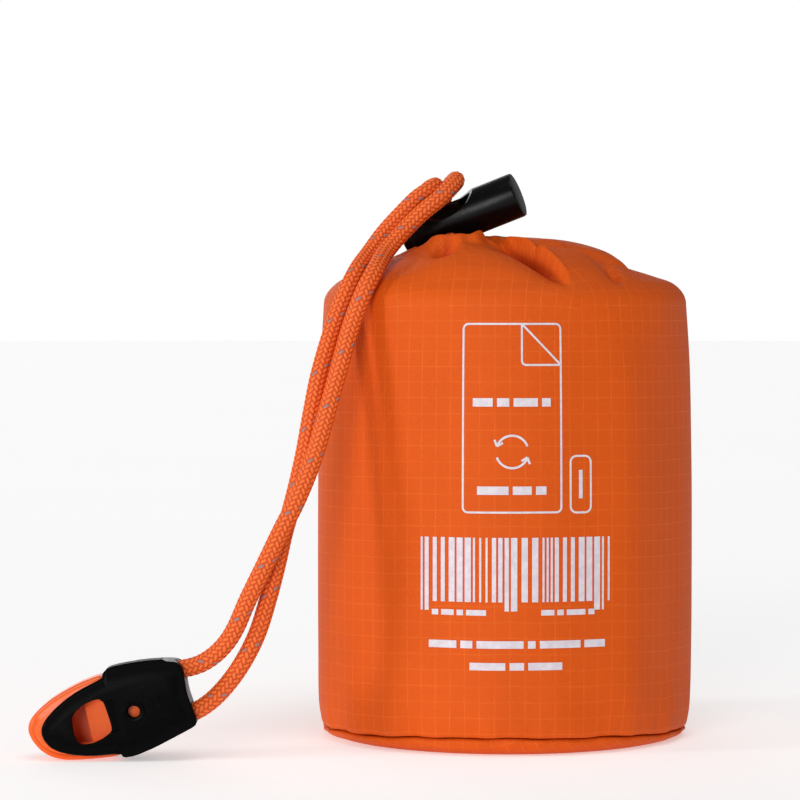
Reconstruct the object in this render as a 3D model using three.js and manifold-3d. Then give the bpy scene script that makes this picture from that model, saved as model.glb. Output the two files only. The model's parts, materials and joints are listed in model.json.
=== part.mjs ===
// A packed emergency sleeping bag: the folded bag fills a round drawstring sack that stands on its
// base. The gathered mouth is held by a barrel cord lock, and two strands of drawcord hang from the
// lock over the left of the shoulder, down to a cord-end whistle that stands on its long edge.
// Millimetres, +Z up, +Y away from the printed front. The origin is the middle of the flat base.

import * as THREE from "three";
import { mergeVertices } from "three/addons/utils/BufferGeometryUtils.js";
import Module from "manifold-3d";

const wasm = await Module();
wasm.setup();

// Driving dimensions

const GAP = 0.3;                 // between pieces that touch on the real object
const SACK_RADIUS = 35;
const SACK_SIDES = 84;
const SEAM_HEIGHT = 2.6;         // where the wall meets the base panel, on average
const SEAM_WAVE = 0.7;           // the seam is higher at the front and back than at the sides
const BASE_FLAT_RADIUS = 30;
const RIM_HEIGHT = 81;           // the wall turns into the crown here
const RIM_SHARE = 0.9686;        // of the sack's radius, at the rim
const CORD_DIAMETER = 3.2;
const CORD_SIDES = 8;
const CORD_STEPS = 38;

const LOCK_RADIUS = 4.25;
const LOCK_CENTRE = [-12.3, -1.4, 95.5];     // on the axis, at the middle of the cord slot
const LOCK_AXIS = [0.912, -0.202, 0.357];    // from the button towards the closed end
const SLOT_LEAN = -30;                       // degrees; the strands come out at the back of the top
const LOCK_CLOSED_END = 16.25;               // along the axis from the slot's middle
const LOCK_OPEN_END = -5.2;
const LOCK_BORE_RADIUS = 3.65;
const LOCK_END_WALL = 1.6;
const BUTTON_RADIUS = 3.35;
const BUTTON_END = -7.15;
const BUTTON_INNER_END = 5.5;
const PRESS_TRAVEL = 1.5;
const SLOT_WIDTH = 4.1;
const STRAND_OFFSET = 1.8;                   // each strand stands this far from the slot's middle
const SLOT_REACH = STRAND_OFFSET + CORD_DIAMETER / 2 + GAP;
const SADDLE_LEAN = 24;                      // the finger saddle faces up and a little to the front
const SADDLE_CENTRE = 2.75;                  // along the axis from the slot's middle
const SADDLE_RADIUS = 9.2;
const SADDLE_FLOOR = 2.1;                    // from the axis to the deepest point of the saddle

const WHISTLE_TIP = [-85.6, -36, 5.72];
const WHISTLE_TILT = 13;                     // degrees that its long axis rises to the cord end
const BODY_THICKNESS = 6.8;
const SLEEVE_THICKNESS = 9.4;
const CORD_HOLE_RADIUS = 1.95;
const CORD_HOLE_DEPTH = 3.6;

// Height of the crown and radius of the wall, each read along a smooth line through its rows

const CROWN_ROWS = [
  // [distance from the sack's axis, height]
  [0, 93.1], [8, 93.1], [13, 92.5], [18, 91.1], [22, 89.5], [26, 87.7],
  [30, 85.9], [31.6, 84.8], [32.8, 83.4], [33.5, 82.2], [33.9, RIM_HEIGHT],
];
const WALL_ROWS = [
  // [height, share of the sack's radius]
  [0, 0.972], [3, 0.985], [6, 0.997], [14, 1], [45, 1], [60, 0.994], [70, 0.986], [76, 0.98],
  [RIM_HEIGHT, RIM_SHARE],
];

// Creases and swells of the crown, seen from above. A crease runs from one point to another and is
// deepest at the share "deepest" of its length; left and right are the widths of its two banks.
const FOLD_COLUMNS = ["name", "from", "to", "rise", "deepest", "left", "right"];
const CROWN_FOLDS = [
  ["front right crease", [1.5, -5], [12, -32], -3.4, 0.45, 1.6, 4.2],
  ["upper right crease", [3, -5], [21, -15], -2.4, 0.5, 3, 1.6],
  ["right dip", [16, -17], [21, -27], -1.3, 0.4, 2, 3],
  ["right notch", [12, 6], [27, -5], -1.6, 0.6, 2.4, 2.4],
  ["left pocket", [-8.5, -8], [-11.4, -21], -3.2, 0.4, 1.8, 1.8],
  ["pleat under the lock", [-12, -7.4], [-3.4, -7.8], 1.7, 0.7, 1.6, 2.2],
  ["left crease", [-14, 0], [-31, -3], -1.8, 0.4, 3, 2],
  ["left back crease", [-13, 6], [-27, 17], -2.6, 0.4, 2, 3.4],
  ["back crease", [-6, 8], [-9, 31], -2.8, 0.4, 3.2, 1.6],
  ["back right crease", [0, 7], [13, 29], -3, 0.45, 1.4, 3.6],
  ["right back crease", [3, 3], [29, 12], -2.2, 0.5, 1.8, 3],
].map((row) => Object.fromEntries(row.map((value, i) => [FOLD_COLUMNS[i], value])));

const MOUTH = { centre: [-10.3, -4], floor: 87.6, floorRadius: 4.1, hemRadius: 6.6 };
const PLEATS = { count: 13, rise: 0.5, reach: 13 };    // small gathers round the drawn mouth

const MATERIALS = {
  cloth: { color: 0xd6551d, roughness: 0.62, metalness: 0 },
  cord: { color: 0xe2561a, roughness: 0.7, metalness: 0 },
  lock: { color: 0x131313, roughness: 0.42, metalness: 0 },
  grip: { color: 0x141414, roughness: 0.5, metalness: 0 },
  whistle: { color: 0xe8672a, roughness: 0.38, metalness: 0 },
};

// Small maths

const radians = THREE.MathUtils.degToRad;
const smooth = THREE.MathUtils.smoothstep;

// A smooth value between the rows of a table, as a curve through them
function readRows(rows, at) {
  const last = rows.length - 1;
  if (at <= rows[0][0]) return rows[0][1];
  if (at >= rows[last][0]) return rows[last][1];
  const i = rows.findIndex((row, k) => k < last && at < rows[k + 1][0]);
  const slope = (k) => {
    const a = rows[Math.max(k - 1, 0)];
    const b = rows[Math.min(k + 1, last)];
    return (b[1] - a[1]) / (b[0] - a[0]);
  };
  const width = rows[i + 1][0] - rows[i][0];
  const t = (at - rows[i][0]) / width;
  const rise = rows[i + 1][1] - rows[i][1];
  const ease = t * t * (3 - 2 * t);
  const bend = width * (slope(i) * t * (1 - t) ** 2 - slope(i + 1) * t * t * (1 - t));
  return rows[i][1] + rise * ease + bend;
}

// How far a fold lifts or sinks the crown at a point seen from above
function foldRise(fold, x, y) {
  const along = new THREE.Vector2(fold.to[0] - fold.from[0], fold.to[1] - fold.from[1]);
  const length = along.length();
  along.normalize();
  const dx = x - fold.from[0];
  const dy = y - fold.from[1];
  const share = (dx * along.x + dy * along.y) / length;
  const aside = dx * along.y - dy * along.x;
  const bank = aside > 0 ? fold.right : fold.left;
  const start = smooth(share, -0.15, fold.deepest);
  const end = 1 - smooth(share, fold.deepest, 1.1);
  return fold.rise * start * end * Math.exp(-((Math.abs(aside) / bank) ** 1.4));
}

// The lock's own frame: its axis to the closed end, and the ways that its slot and saddle face

const lockAxis = new THREE.Vector3(...LOCK_AXIS).normalize();
const lockCentre = new THREE.Vector3(...LOCK_CENTRE);
const lockUp = new THREE.Vector3(0, 0, 1).addScaledVector(lockAxis, -lockAxis.z).normalize();
const slotUp = lockUp.clone().applyAxisAngle(lockAxis, radians(SLOT_LEAN));
const saddleUp = lockUp.clone().applyAxisAngle(lockAxis, radians(SADDLE_LEAN));
const lockPlan = new THREE.Vector2(lockAxis.x, lockAxis.y);
const lockRun = lockPlan.length();
lockPlan.normalize();

// The cloth stays under the lock's round underside
function underLock(x, y) {
  const reach = LOCK_RADIUS + GAP + 0.1;
  const dx = x - lockCentre.x;
  const dy = y - lockCentre.y;
  const along = dx * lockPlan.x + dy * lockPlan.y;
  const aside = dx * lockPlan.y - dy * lockPlan.x;
  if (Math.abs(aside) >= reach) return Infinity;
  const pastEnd = Math.max(0, (BUTTON_END - 0.8) * lockRun - along);
  const drop = Math.sqrt(reach * reach - aside * aside) / lockRun;
  return lockCentre.z + (along * lockAxis.z) / lockRun - drop + 1.5 * pastEnd;
}

function crownHeight(x, y) {
  const fromMouth = Math.hypot(x - MOUTH.centre[0], y - MOUTH.centre[1]);
  const turn = Math.atan2(y - MOUTH.centre[1], x - MOUTH.centre[0]);
  let height = readRows(CROWN_ROWS, Math.hypot(x, y));
  for (const fold of CROWN_FOLDS) height += foldRise(fold, x, y);
  const gather = 1 - smooth(fromMouth, MOUTH.hemRadius, PLEATS.reach);
  height += PLEATS.rise * gather * Math.cos(PLEATS.count * turn);
  height = Math.min(height, underLock(x, y));
  const inMouth = 1 - smooth(fromMouth, MOUTH.floorRadius, MOUTH.hemRadius);
  return THREE.MathUtils.lerp(height, MOUTH.floor, inMouth);
}

function wallRadius(turn, height) {
  const front = -Math.sin(turn);
  const nearShoulder = smooth(height, 45, RIM_HEIGHT);
  const nearSeam = 1 - smooth(height, 4, 24);
  const slump = 0.22 * nearShoulder * Math.sin(7 * turn + 0.6) * (1 - 0.7 * Math.max(front, 0));
  const pucker = 0.16 * nearSeam * Math.sin(19 * turn + 1.3 * Math.sin(3 * turn));
  return SACK_RADIUS * readRows(WALL_ROWS, height) + slump + pucker;
}

function seamHeight(turn) {
  return SEAM_HEIGHT - SEAM_WAVE * Math.cos(2 * turn);
}

// Solids

function closed(geometry) {
  const copy = geometry.index ? geometry : mergeVertices(geometry);
  copy.deleteAttribute("normal");
  copy.deleteAttribute("uv");
  return mergeVertices(copy, 1e-4);
}

function toManifold(geometry) {
  const shape = closed(geometry);
  return new wasm.Manifold(new wasm.Mesh({
    numProp: 3,
    vertProperties: new Float32Array(shape.attributes.position.array),
    triVerts: new Uint32Array(shape.index.array),
  }));
}

function fromManifold(solid) {
  const { vertProperties, triVerts } = solid.getMesh();
  const geometry = new THREE.BufferGeometry();
  geometry.setAttribute("position", new THREE.BufferAttribute(new Float32Array(vertProperties), 3));
  geometry.setIndex(new THREE.BufferAttribute(new Uint32Array(triVerts), 1));
  return geometry;
}

// A turned shape about Z whose every point is then moved by its turn, radius and height
function turned(profile, sides, place) {
  const points = profile.map(([radius, height]) => new THREE.Vector2(radius, height));
  const geometry = new THREE.LatheGeometry(points, sides);
  const position = geometry.attributes.position;
  for (let side = 0; side <= sides; side += 1) {
    const turn = (2 * Math.PI * (side % sides)) / sides;
    points.forEach((point, row) => {
      const [x, y, z] = place(turn, point.x, point.y, row);
      position.setXYZ(side * points.length + row, x, y, z);
    });
  }
  return closed(geometry);
}

function mesh(name, geometry, look) {
  const piece = new THREE.Mesh(geometry, new THREE.MeshStandardMaterial(MATERIALS[look]));
  piece.name = name;
  return piece;
}

// The sack: a filled wall with its gathered crown, on a round base panel

function makeSackWall() {
  const floorRings = [[0, 0], [BASE_FLAT_RADIUS, 0]];
  const wallHeights = [0, 0.8, 2.2, 4.5, 9, 18, 30, 42, 54, 64, 71, 76, 79.5];
  const crownRadii = [
    33.9, 33.5, 32.8, 31.6, 30, 27, 25, 23, 21, 19, 17, 15, 13, 11.4, 9.8, 8.4, 7.2, 6.2, 5.2, 4.1, 0,
  ];
  const wallRings = wallHeights.map((height) => [SACK_RADIUS, height]);
  const crownRings = crownRadii.map((radius) => [radius, RIM_HEIGHT]);
  const firstCrown = floorRings.length + wallRings.length;

  const place = (turn, radius, height, row) => {
    const cos = Math.cos(turn);
    const sin = Math.sin(turn);
    if (row < floorRings.length) {
      return [radius * cos, radius * sin, radius > 0 ? seamHeight(turn) : SEAM_HEIGHT];
    }
    if (row < firstCrown) {
      const lift = seamHeight(turn) * (1 - height / RIM_HEIGHT);
      const z = height + lift;
      const around = wallRadius(turn, z);
      return [around * cos, around * sin, z];
    }
    const shift = 1 - smooth(radius, 2, 30);
    const slump = wallRadius(turn, RIM_HEIGHT) / (SACK_RADIUS * RIM_SHARE) - 1;
    const reach = radius * (1 + slump * smooth(radius, 22, 33.9));
    const x = reach * cos + MOUTH.centre[0] * shift;
    const y = reach * sin + MOUTH.centre[1] * shift;
    return [x, y, crownHeight(x, y)];
  };
  return turned([...floorRings, ...wallRings, ...crownRings], SACK_SIDES, place);
}

function makeSackBase() {
  const rim = SACK_RADIUS * WALL_ROWS[0][1];
  // [radius, share of the seam's height]
  const profile = [
    [0, 0], [BASE_FLAT_RADIUS, 0], [rim - 1.9, 0.14], [rim - 0.7, 0.5], [rim - 0.15, 0.82],
    [rim - 0.5, 1], [0, 1],
  ];
  const place = (turn, radius, share) => {
    const top = (radius === 0 ? SEAM_HEIGHT : seamHeight(turn)) - GAP;
    return [radius * Math.cos(turn), radius * Math.sin(turn), top * share];
  };
  return turned(profile, SACK_SIDES, place);
}

// The cord lock: a barrel with a saddle round its cord slot, and a sprung button in its bore

// A shape turned about the lock's axis from [distance along the axis, radius] rows
function onLockAxis(rows, sides) {
  const points = rows.map(([along, radius]) => new THREE.Vector2(radius, along));
  const geometry = new THREE.LatheGeometry(points, sides);
  const across = new THREE.Vector3().crossVectors(lockUp, lockAxis);
  const frame = new THREE.Matrix4().makeBasis(lockUp, lockAxis, across).setPosition(lockCentre);
  return closed(geometry).applyMatrix4(frame);
}

// An upright slot with round ends through the lock, between two distances along its axis
function lockSlot(from, to) {
  const half = SLOT_WIDTH / 2;
  const outline = new THREE.Shape();
  outline.absarc(to - half, 0, half, -Math.PI / 2, Math.PI / 2, false);
  outline.absarc(from + half, 0, half, Math.PI / 2, (3 * Math.PI) / 2, false);
  const depth = 4 * LOCK_RADIUS;
  const slot = new THREE.ExtrudeGeometry(outline, { depth, bevelEnabled: false, curveSegments: 8 });
  slot.translate(0, 0, -depth / 2);
  const across = new THREE.Vector3().crossVectors(slotUp, lockAxis);
  const frame = new THREE.Matrix4().makeBasis(lockAxis, across, slotUp).setPosition(lockCentre);
  return slot.applyMatrix4(frame);
}

function makeLockBarrel() {
  const bevel = 0.35;
  const barrel = onLockAxis([
    [LOCK_CLOSED_END, 0],
    [LOCK_CLOSED_END, LOCK_RADIUS - bevel],
    [LOCK_CLOSED_END - bevel, LOCK_RADIUS],
    [LOCK_OPEN_END + bevel, LOCK_RADIUS],
    [LOCK_OPEN_END, LOCK_RADIUS - 0.2],
    [LOCK_OPEN_END, LOCK_BORE_RADIUS],
    [LOCK_CLOSED_END - LOCK_END_WALL, LOCK_BORE_RADIUS],
    [LOCK_CLOSED_END - LOCK_END_WALL, 0],
  ].reverse(), 32);

  const saddle = new THREE.CylinderGeometry(SADDLE_RADIUS, SADDLE_RADIUS, 4 * LOCK_RADIUS, 48);
  const across = new THREE.Vector3().crossVectors(lockAxis, saddleUp);
  const frame = new THREE.Matrix4().makeBasis(lockAxis, across, saddleUp.clone().negate());
  frame.setPosition(
    lockCentre.clone()
      .addScaledVector(saddleUp, SADDLE_FLOOR + SADDLE_RADIUS)
      .addScaledVector(lockAxis, SADDLE_CENTRE),
  );
  saddle.applyMatrix4(frame);

  const solid = toManifold(barrel)
    .subtract(toManifold(saddle))
    .subtract(toManifold(lockSlot(-SLOT_REACH, SLOT_REACH)));
  return fromManifold(solid);
}

function makeLockButton() {
  const bevel = 0.5;
  const button = onLockAxis([
    [BUTTON_END, 0],
    [BUTTON_END, BUTTON_RADIUS - bevel],
    [BUTTON_END + bevel, BUTTON_RADIUS],
    [BUTTON_INNER_END, BUTTON_RADIUS],
    [BUTTON_INNER_END, 0],
  ], 28);
  const slot = lockSlot(-SLOT_REACH - PRESS_TRAVEL, SLOT_REACH);
  return fromManifold(toManifold(button).subtract(toManifold(slot)));
}

// The two strands of drawcord, from the drawn mouth through the lock and down to the whistle

const FRONT_STRAND = [
  [-8.6, -4.6, 89], [-9.2, -4.7, 91], [-9.8, -4.1, 92.7], [-10.7, -1.8, 96.1], [-11.5, 0.6, 99.5],
  [-11.5, 1.3, 100.7], [-10.8, 1.2, 102.2], [-10, 0.2, 103.4], [-9.2, -1.7, 104.1],
  [-9.2, -3.8, 103.7], [-10.6, -6.6, 102.1], [-12.5, -8.7, 100.2], [-15.1, -10, 98.1],
  [-18.4, -11.6, 94.9], [-21.9, -14.6, 90.8], [-24.3, -22, 86.6], [-26, -24.7, 83.3],
  [-28.3, -26.4, 77.2], [-30.5, -28.6, 69.3], [-32.7, -30.7, 61.4], [-35, -32.6, 53.4],
  [-38, -34.8, 45.9], [-40.7, -35.9, 40.6], [-43.4, -36.4, 35], [-46.7, -36.4, 28.2],
  [-49, -36.3, 23], [-50.8, -36.2, 20.3], [-53, -36.1, 18.2], [-55.4, -36, 16.8], [-58, -36, 16.1],
  [-60.9, -36, 15.4],
];
const BACK_STRAND = [
  [-12, -3.9, 88.7], [-12.5, -3.9, 89.9], [-13.1, -3.4, 91.4], [-13.9, -1.1, 94.8],
  [-14.7, 1.3, 98.3], [-15.1, 1.8, 99.6], [-15.1, 1.6, 101], [-14.4, 0.5, 102.2], [-13.2, -1.5, 102.9],
  [-13, -3.5, 102.8], [-14.4, -5.4, 101.9], [-16.3, -6.6, 100.6], [-18.9, -8, 98],
  [-22.6, -10, 93.9], [-25.2, -12.6, 90.3], [-27.7, -18, 86.6], [-29.5, -20.4, 82.7],
  [-31.2, -22, 78.3], [-33.1, -24.3, 72.2], [-34.4, -26, 67.2], [-35.4, -27.5, 62],
  [-37, -29.3, 53.1], [-39, -31.2, 44.6], [-40.3, -32.2, 40], [-41.5, -33.1, 34.6],
  [-43.2, -34.1, 28], [-45, -35, 22.3], [-47.2, -35.7, 17.8], [-49.9, -36, 13.8],
  [-53.1, -36, 10.4], [-56, -36, 8.5], [-58.9, -36, 7.7],
];

function makeStrand(points) {
  const route = points.map((point) => new THREE.Vector3(...point));
  const path = new THREE.CatmullRomCurve3(route, false, "centripetal");
  const section = new THREE.Shape();
  for (let side = 0; side < CORD_SIDES; side += 1) {
    const turn = (2 * Math.PI * (side + 0.5)) / CORD_SIDES;
    const x = (CORD_DIAMETER / 2) * Math.cos(turn);
    const y = (CORD_DIAMETER / 2) * Math.sin(turn);
    if (side === 0) section.moveTo(x, y);
    else section.lineTo(x, y);
  }
  section.closePath();
  const settings = { steps: CORD_STEPS, extrudePath: path, bevelEnabled: false };
  return closed(new THREE.ExtrudeGeometry(section, settings));
}

// The whistle: an orange body whose tongue sits in a black grip sleeve that carries the cords.
// Its outlines are drawn flat, with the tip at the origin, +x along the whistle and +y upwards.

const BODY_OUTLINE = [
  [24, -5.6], [24, 3.6], [15.4, 5.2], [15, 6.4], [10.6, 5.8], [5.6, 4.3], [3, 3], [1.3, 1.9],
  [0.3, 0.7], [-0.1, -0.7], [0.3, -2.5], [1.3, -4.4], [2.8, -5.9], [4.9, -6.95], [7.4, -7.5],
  [10.6, -8], [15, -8.5], [15.4, -7.3],
];
const SLEEVE_OUTLINE = [
  [15.2, 6.6], [16.2, 7.1], [18.3, 7.15], [22.5, 6.9], [26.6, 6.25], [28.4, 5.7], [29.2, 4.8],
  [29.3, 3], [29.05, 0], [29.4, -3.2], [29.7, -5.4], [29.1, -6.2], [26.2, -7], [21.3, -8.3],
  [17.6, -8.95], [15.6, -8.8], [15.2, -8.1], [9.9, -7.35], [6.6, -6.3], [4.6, -5.35],
  [3.2, -4.2], [2.4, -2.7], [2.2, -1.4], [2.5, -0.2], [3.5, 1.05], [5.4, 2.45], [7.8, 3.75],
  [10.4, 4.8], [15.1, 6],
];
const WINDOW = { left: 7.9, right: 14.7, bottom: -4.9, top: 2.2, corner: 1.4 };
const RAMP_START = 10.7;         // the sound slot is deep before this line and slopes up behind it
const SPY_HOLE = { centre: [19.3, -1.1], radius: 1.15 };
const CORD_HOLES = [[29.3, 3.9], [29.5, -4]];

function outlineShape(points) {
  const shape = new THREE.Shape();
  points.forEach(([x, y], i) => (i === 0 ? shape.moveTo(x, y) : shape.lineTo(x, y)));
  shape.closePath();
  return shape;
}

// The same outline, grown outwards all round with mitred corners
function grown(points, by) {
  const corners = points.map(([x, y]) => new THREE.Vector2(x, y));
  const outwards = THREE.ShapeUtils.area(corners) > 0 ? 1 : -1;
  const sideways = (from, to) => {
    const along = to.clone().sub(from).normalize();
    return new THREE.Vector2(along.y, -along.x).multiplyScalar(outwards);
  };
  return corners.map((corner, i) => {
    const before = sideways(corners[(i + corners.length - 1) % corners.length], corner);
    const after = sideways(corner, corners[(i + 1) % corners.length]);
    const mitre = before.clone().add(after).multiplyScalar(by / (1 + before.dot(after)));
    return [corner.x + mitre.x, corner.y + mitre.y];
  });
}

function slab(points, thickness, bevel = 0) {
  const settings = {
    depth: thickness - 2 * bevel,
    bevelEnabled: bevel > 0,
    bevelThickness: bevel,
    bevelSize: bevel,
    bevelOffset: -bevel,
    bevelSegments: 1,
  };
  const geometry = new THREE.ExtrudeGeometry(outlineShape(points), settings);
  return geometry.translate(0, 0, bevel - thickness / 2);
}

function windowShape(margin) {
  const { left, right, bottom, top, corner } = WINDOW;
  const shape = new THREE.Shape();
  const round = corner + margin;
  shape.absarc(left - margin + round, bottom - margin + round, round, Math.PI, 1.5 * Math.PI);
  shape.absarc(right + margin - round, bottom - margin + round, round, 1.5 * Math.PI, 2 * Math.PI);
  shape.absarc(right + margin - round, top + margin - round, round, 0, 0.5 * Math.PI);
  shape.absarc(left - margin + round, top + margin - round, round, 0.5 * Math.PI, Math.PI);
  return shape;
}

// The sound slot in one face of the body: deep by the tip side, sloping up to the cord side
function soundSlot() {
  const face = BODY_THICKNESS / 2;
  const side = outlineShape([
    [WINDOW.left - 0.2, face + 1], [WINDOW.left - 0.2, -0.4], [RAMP_START, -0.4],
    [RAMP_START, 0.6], [WINDOW.right + 0.2, face - 0.6], [WINDOW.right + 0.2, face + 1],
  ]);
  const height = WINDOW.top - WINDOW.bottom;
  const cut = new THREE.ExtrudeGeometry(side, { depth: height, bevelEnabled: false });
  return cut.rotateX(Math.PI / 2).translate(0, WINDOW.top, 0);
}

function placeWhistle(geometry) {
  geometry.rotateX(Math.PI / 2).rotateY(-radians(WHISTLE_TILT));
  return geometry.translate(...WHISTLE_TIP);
}

function makeWhistleBody() {
  const solid = toManifold(slab(BODY_OUTLINE, BODY_THICKNESS, 0.7)).subtract(toManifold(soundSlot()));
  return placeWhistle(fromManifold(solid));
}

function makeWhistleSleeve() {
  const seat = slab(grown(BODY_OUTLINE, GAP), BODY_THICKNESS + 2 * GAP);
  const cutter = { depth: SLEEVE_THICKNESS, bevelEnabled: false, curveSegments: 5 };
  const windowCut = new THREE.ExtrudeGeometry(windowShape(0.1), cutter);
  const spyHole = new THREE.CylinderGeometry(SPY_HOLE.radius, SPY_HOLE.radius, SLEEVE_THICKNESS, 12);
  spyHole.rotateX(Math.PI / 2).translate(...SPY_HOLE.centre, SLEEVE_THICKNESS / 2);
  let solid = toManifold(slab(SLEEVE_OUTLINE, SLEEVE_THICKNESS, 0.8))
    .subtract(toManifold(seat))
    .subtract(toManifold(windowCut))
    .subtract(toManifold(spyHole));
  for (const [x, y] of CORD_HOLES) {
    const length = 2 * CORD_HOLE_DEPTH;
    const hole = new THREE.CylinderGeometry(CORD_HOLE_RADIUS, CORD_HOLE_RADIUS, length, 16);
    hole.rotateZ(Math.PI / 2).translate(x, y, 0);
    solid = solid.subtract(toManifold(hole));
  }
  return placeWhistle(fromManifold(solid));
}

const group = new THREE.Group();
group.add(mesh("sack_wall", makeSackWall(), "cloth"));
group.add(mesh("sack_base", makeSackBase(), "cloth"));
group.add(mesh("lock_barrel", makeLockBarrel(), "lock"));
group.add(mesh("lock_button", makeLockButton(), "lock"));
group.add(mesh("cord_front", makeStrand(FRONT_STRAND), "cord"));
group.add(mesh("cord_back", makeStrand(BACK_STRAND), "cord"));
group.add(mesh("whistle_body", makeWhistleBody(), "whistle"));
group.add(mesh("whistle_sleeve", makeWhistleSleeve(), "grip"));

export default group;
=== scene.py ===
# %% [markdown]
# # An emergency sleeping bag in its drawstring sack
#
# The object is a small stuff sack of thin orange ripstop, filled tight by the folded sleeping bag
# inside it. A barrel cord lock holds the gathered mouth, and two strands of drawcord hang from the
# lock over the shoulder, down to a whistle that stands on its long edge.
#
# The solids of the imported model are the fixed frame. This lesson loads them, and then makes a finer
# piece for each one, in the same place: cloth, braid and moulded plastic.

import json
import math

import bmesh
import bpy
import numpy as np
from mathutils import Matrix, Vector
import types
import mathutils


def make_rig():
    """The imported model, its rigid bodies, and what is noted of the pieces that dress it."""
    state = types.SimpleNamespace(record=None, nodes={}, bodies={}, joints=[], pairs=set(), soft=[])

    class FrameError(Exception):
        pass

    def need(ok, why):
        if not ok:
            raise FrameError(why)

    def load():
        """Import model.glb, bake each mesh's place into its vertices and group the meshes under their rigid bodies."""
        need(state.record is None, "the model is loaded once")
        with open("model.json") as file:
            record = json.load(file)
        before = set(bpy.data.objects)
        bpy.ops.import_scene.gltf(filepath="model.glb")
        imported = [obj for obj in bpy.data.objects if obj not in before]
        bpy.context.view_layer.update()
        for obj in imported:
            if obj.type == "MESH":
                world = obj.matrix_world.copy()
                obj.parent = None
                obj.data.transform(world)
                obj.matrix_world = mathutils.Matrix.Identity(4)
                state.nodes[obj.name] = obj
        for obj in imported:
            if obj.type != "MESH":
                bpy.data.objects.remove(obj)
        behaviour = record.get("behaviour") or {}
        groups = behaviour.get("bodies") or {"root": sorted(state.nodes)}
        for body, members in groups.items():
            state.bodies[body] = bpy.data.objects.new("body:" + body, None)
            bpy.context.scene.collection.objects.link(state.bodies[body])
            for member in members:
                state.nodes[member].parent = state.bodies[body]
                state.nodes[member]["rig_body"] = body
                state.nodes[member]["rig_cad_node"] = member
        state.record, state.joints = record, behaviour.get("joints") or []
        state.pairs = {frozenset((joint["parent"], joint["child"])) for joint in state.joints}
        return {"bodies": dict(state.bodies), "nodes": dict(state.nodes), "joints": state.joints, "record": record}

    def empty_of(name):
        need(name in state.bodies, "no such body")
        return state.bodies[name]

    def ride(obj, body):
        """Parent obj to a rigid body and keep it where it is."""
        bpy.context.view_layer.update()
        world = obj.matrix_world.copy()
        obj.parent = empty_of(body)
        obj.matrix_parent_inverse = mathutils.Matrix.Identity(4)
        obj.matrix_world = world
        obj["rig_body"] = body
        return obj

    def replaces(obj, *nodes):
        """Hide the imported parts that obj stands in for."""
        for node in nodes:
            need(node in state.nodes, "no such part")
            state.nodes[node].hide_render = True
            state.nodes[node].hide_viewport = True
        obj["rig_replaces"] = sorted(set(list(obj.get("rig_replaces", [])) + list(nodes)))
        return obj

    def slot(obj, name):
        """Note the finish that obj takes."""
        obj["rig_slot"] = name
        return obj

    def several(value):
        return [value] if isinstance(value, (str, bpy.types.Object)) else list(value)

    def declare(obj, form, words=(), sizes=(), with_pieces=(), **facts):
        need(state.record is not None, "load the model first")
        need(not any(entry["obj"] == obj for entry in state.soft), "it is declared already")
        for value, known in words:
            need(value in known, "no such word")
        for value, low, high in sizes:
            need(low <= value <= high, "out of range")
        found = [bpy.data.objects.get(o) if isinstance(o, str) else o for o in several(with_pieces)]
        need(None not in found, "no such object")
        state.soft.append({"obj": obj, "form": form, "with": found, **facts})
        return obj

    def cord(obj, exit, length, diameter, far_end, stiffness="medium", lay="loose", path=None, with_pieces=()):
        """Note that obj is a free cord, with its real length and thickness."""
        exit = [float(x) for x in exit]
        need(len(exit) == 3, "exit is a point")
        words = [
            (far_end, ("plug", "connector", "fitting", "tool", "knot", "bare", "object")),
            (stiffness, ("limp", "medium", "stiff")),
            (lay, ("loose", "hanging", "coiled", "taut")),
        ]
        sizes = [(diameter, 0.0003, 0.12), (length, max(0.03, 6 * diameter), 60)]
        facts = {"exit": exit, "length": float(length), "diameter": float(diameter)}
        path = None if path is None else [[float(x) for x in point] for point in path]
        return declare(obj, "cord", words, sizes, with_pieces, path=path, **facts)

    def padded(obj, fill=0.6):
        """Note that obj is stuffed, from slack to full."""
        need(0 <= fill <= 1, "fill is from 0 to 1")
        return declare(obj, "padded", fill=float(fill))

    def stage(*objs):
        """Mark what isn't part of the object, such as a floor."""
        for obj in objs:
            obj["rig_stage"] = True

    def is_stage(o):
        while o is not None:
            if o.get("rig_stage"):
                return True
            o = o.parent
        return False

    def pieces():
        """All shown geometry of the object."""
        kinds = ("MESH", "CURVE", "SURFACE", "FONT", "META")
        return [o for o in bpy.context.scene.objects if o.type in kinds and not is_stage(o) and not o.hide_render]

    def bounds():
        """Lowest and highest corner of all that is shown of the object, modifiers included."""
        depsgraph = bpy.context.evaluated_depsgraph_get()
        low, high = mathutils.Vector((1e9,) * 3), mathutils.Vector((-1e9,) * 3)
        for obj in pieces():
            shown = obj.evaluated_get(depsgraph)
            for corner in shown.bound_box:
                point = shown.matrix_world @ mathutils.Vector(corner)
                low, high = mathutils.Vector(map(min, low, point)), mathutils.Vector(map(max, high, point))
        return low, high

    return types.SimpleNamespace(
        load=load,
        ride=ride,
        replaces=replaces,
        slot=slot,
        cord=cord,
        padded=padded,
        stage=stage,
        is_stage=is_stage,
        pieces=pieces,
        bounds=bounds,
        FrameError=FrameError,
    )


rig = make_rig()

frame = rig.load()
cad_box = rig.bounds()
MM = 0.001
print("bodies:", sorted(frame["bodies"]), "nodes:", sorted(frame["nodes"]))

# %% [markdown]
# ## The camera
#
# The photograph was taken from straight in front with a long lens, a little above the middle of the
# sack, looking down by less than two degrees. A long lens far away keeps the sides of the sack
# parallel, and the lens is set before anything is made.

# %% The camera
CAMERA_PLACE = Vector((-19.6, -621, 81.6)) * MM
CAMERA_DROP = math.radians(1.736)
SENSOR_WIDTH = 36
LENS = 148.5


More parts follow.
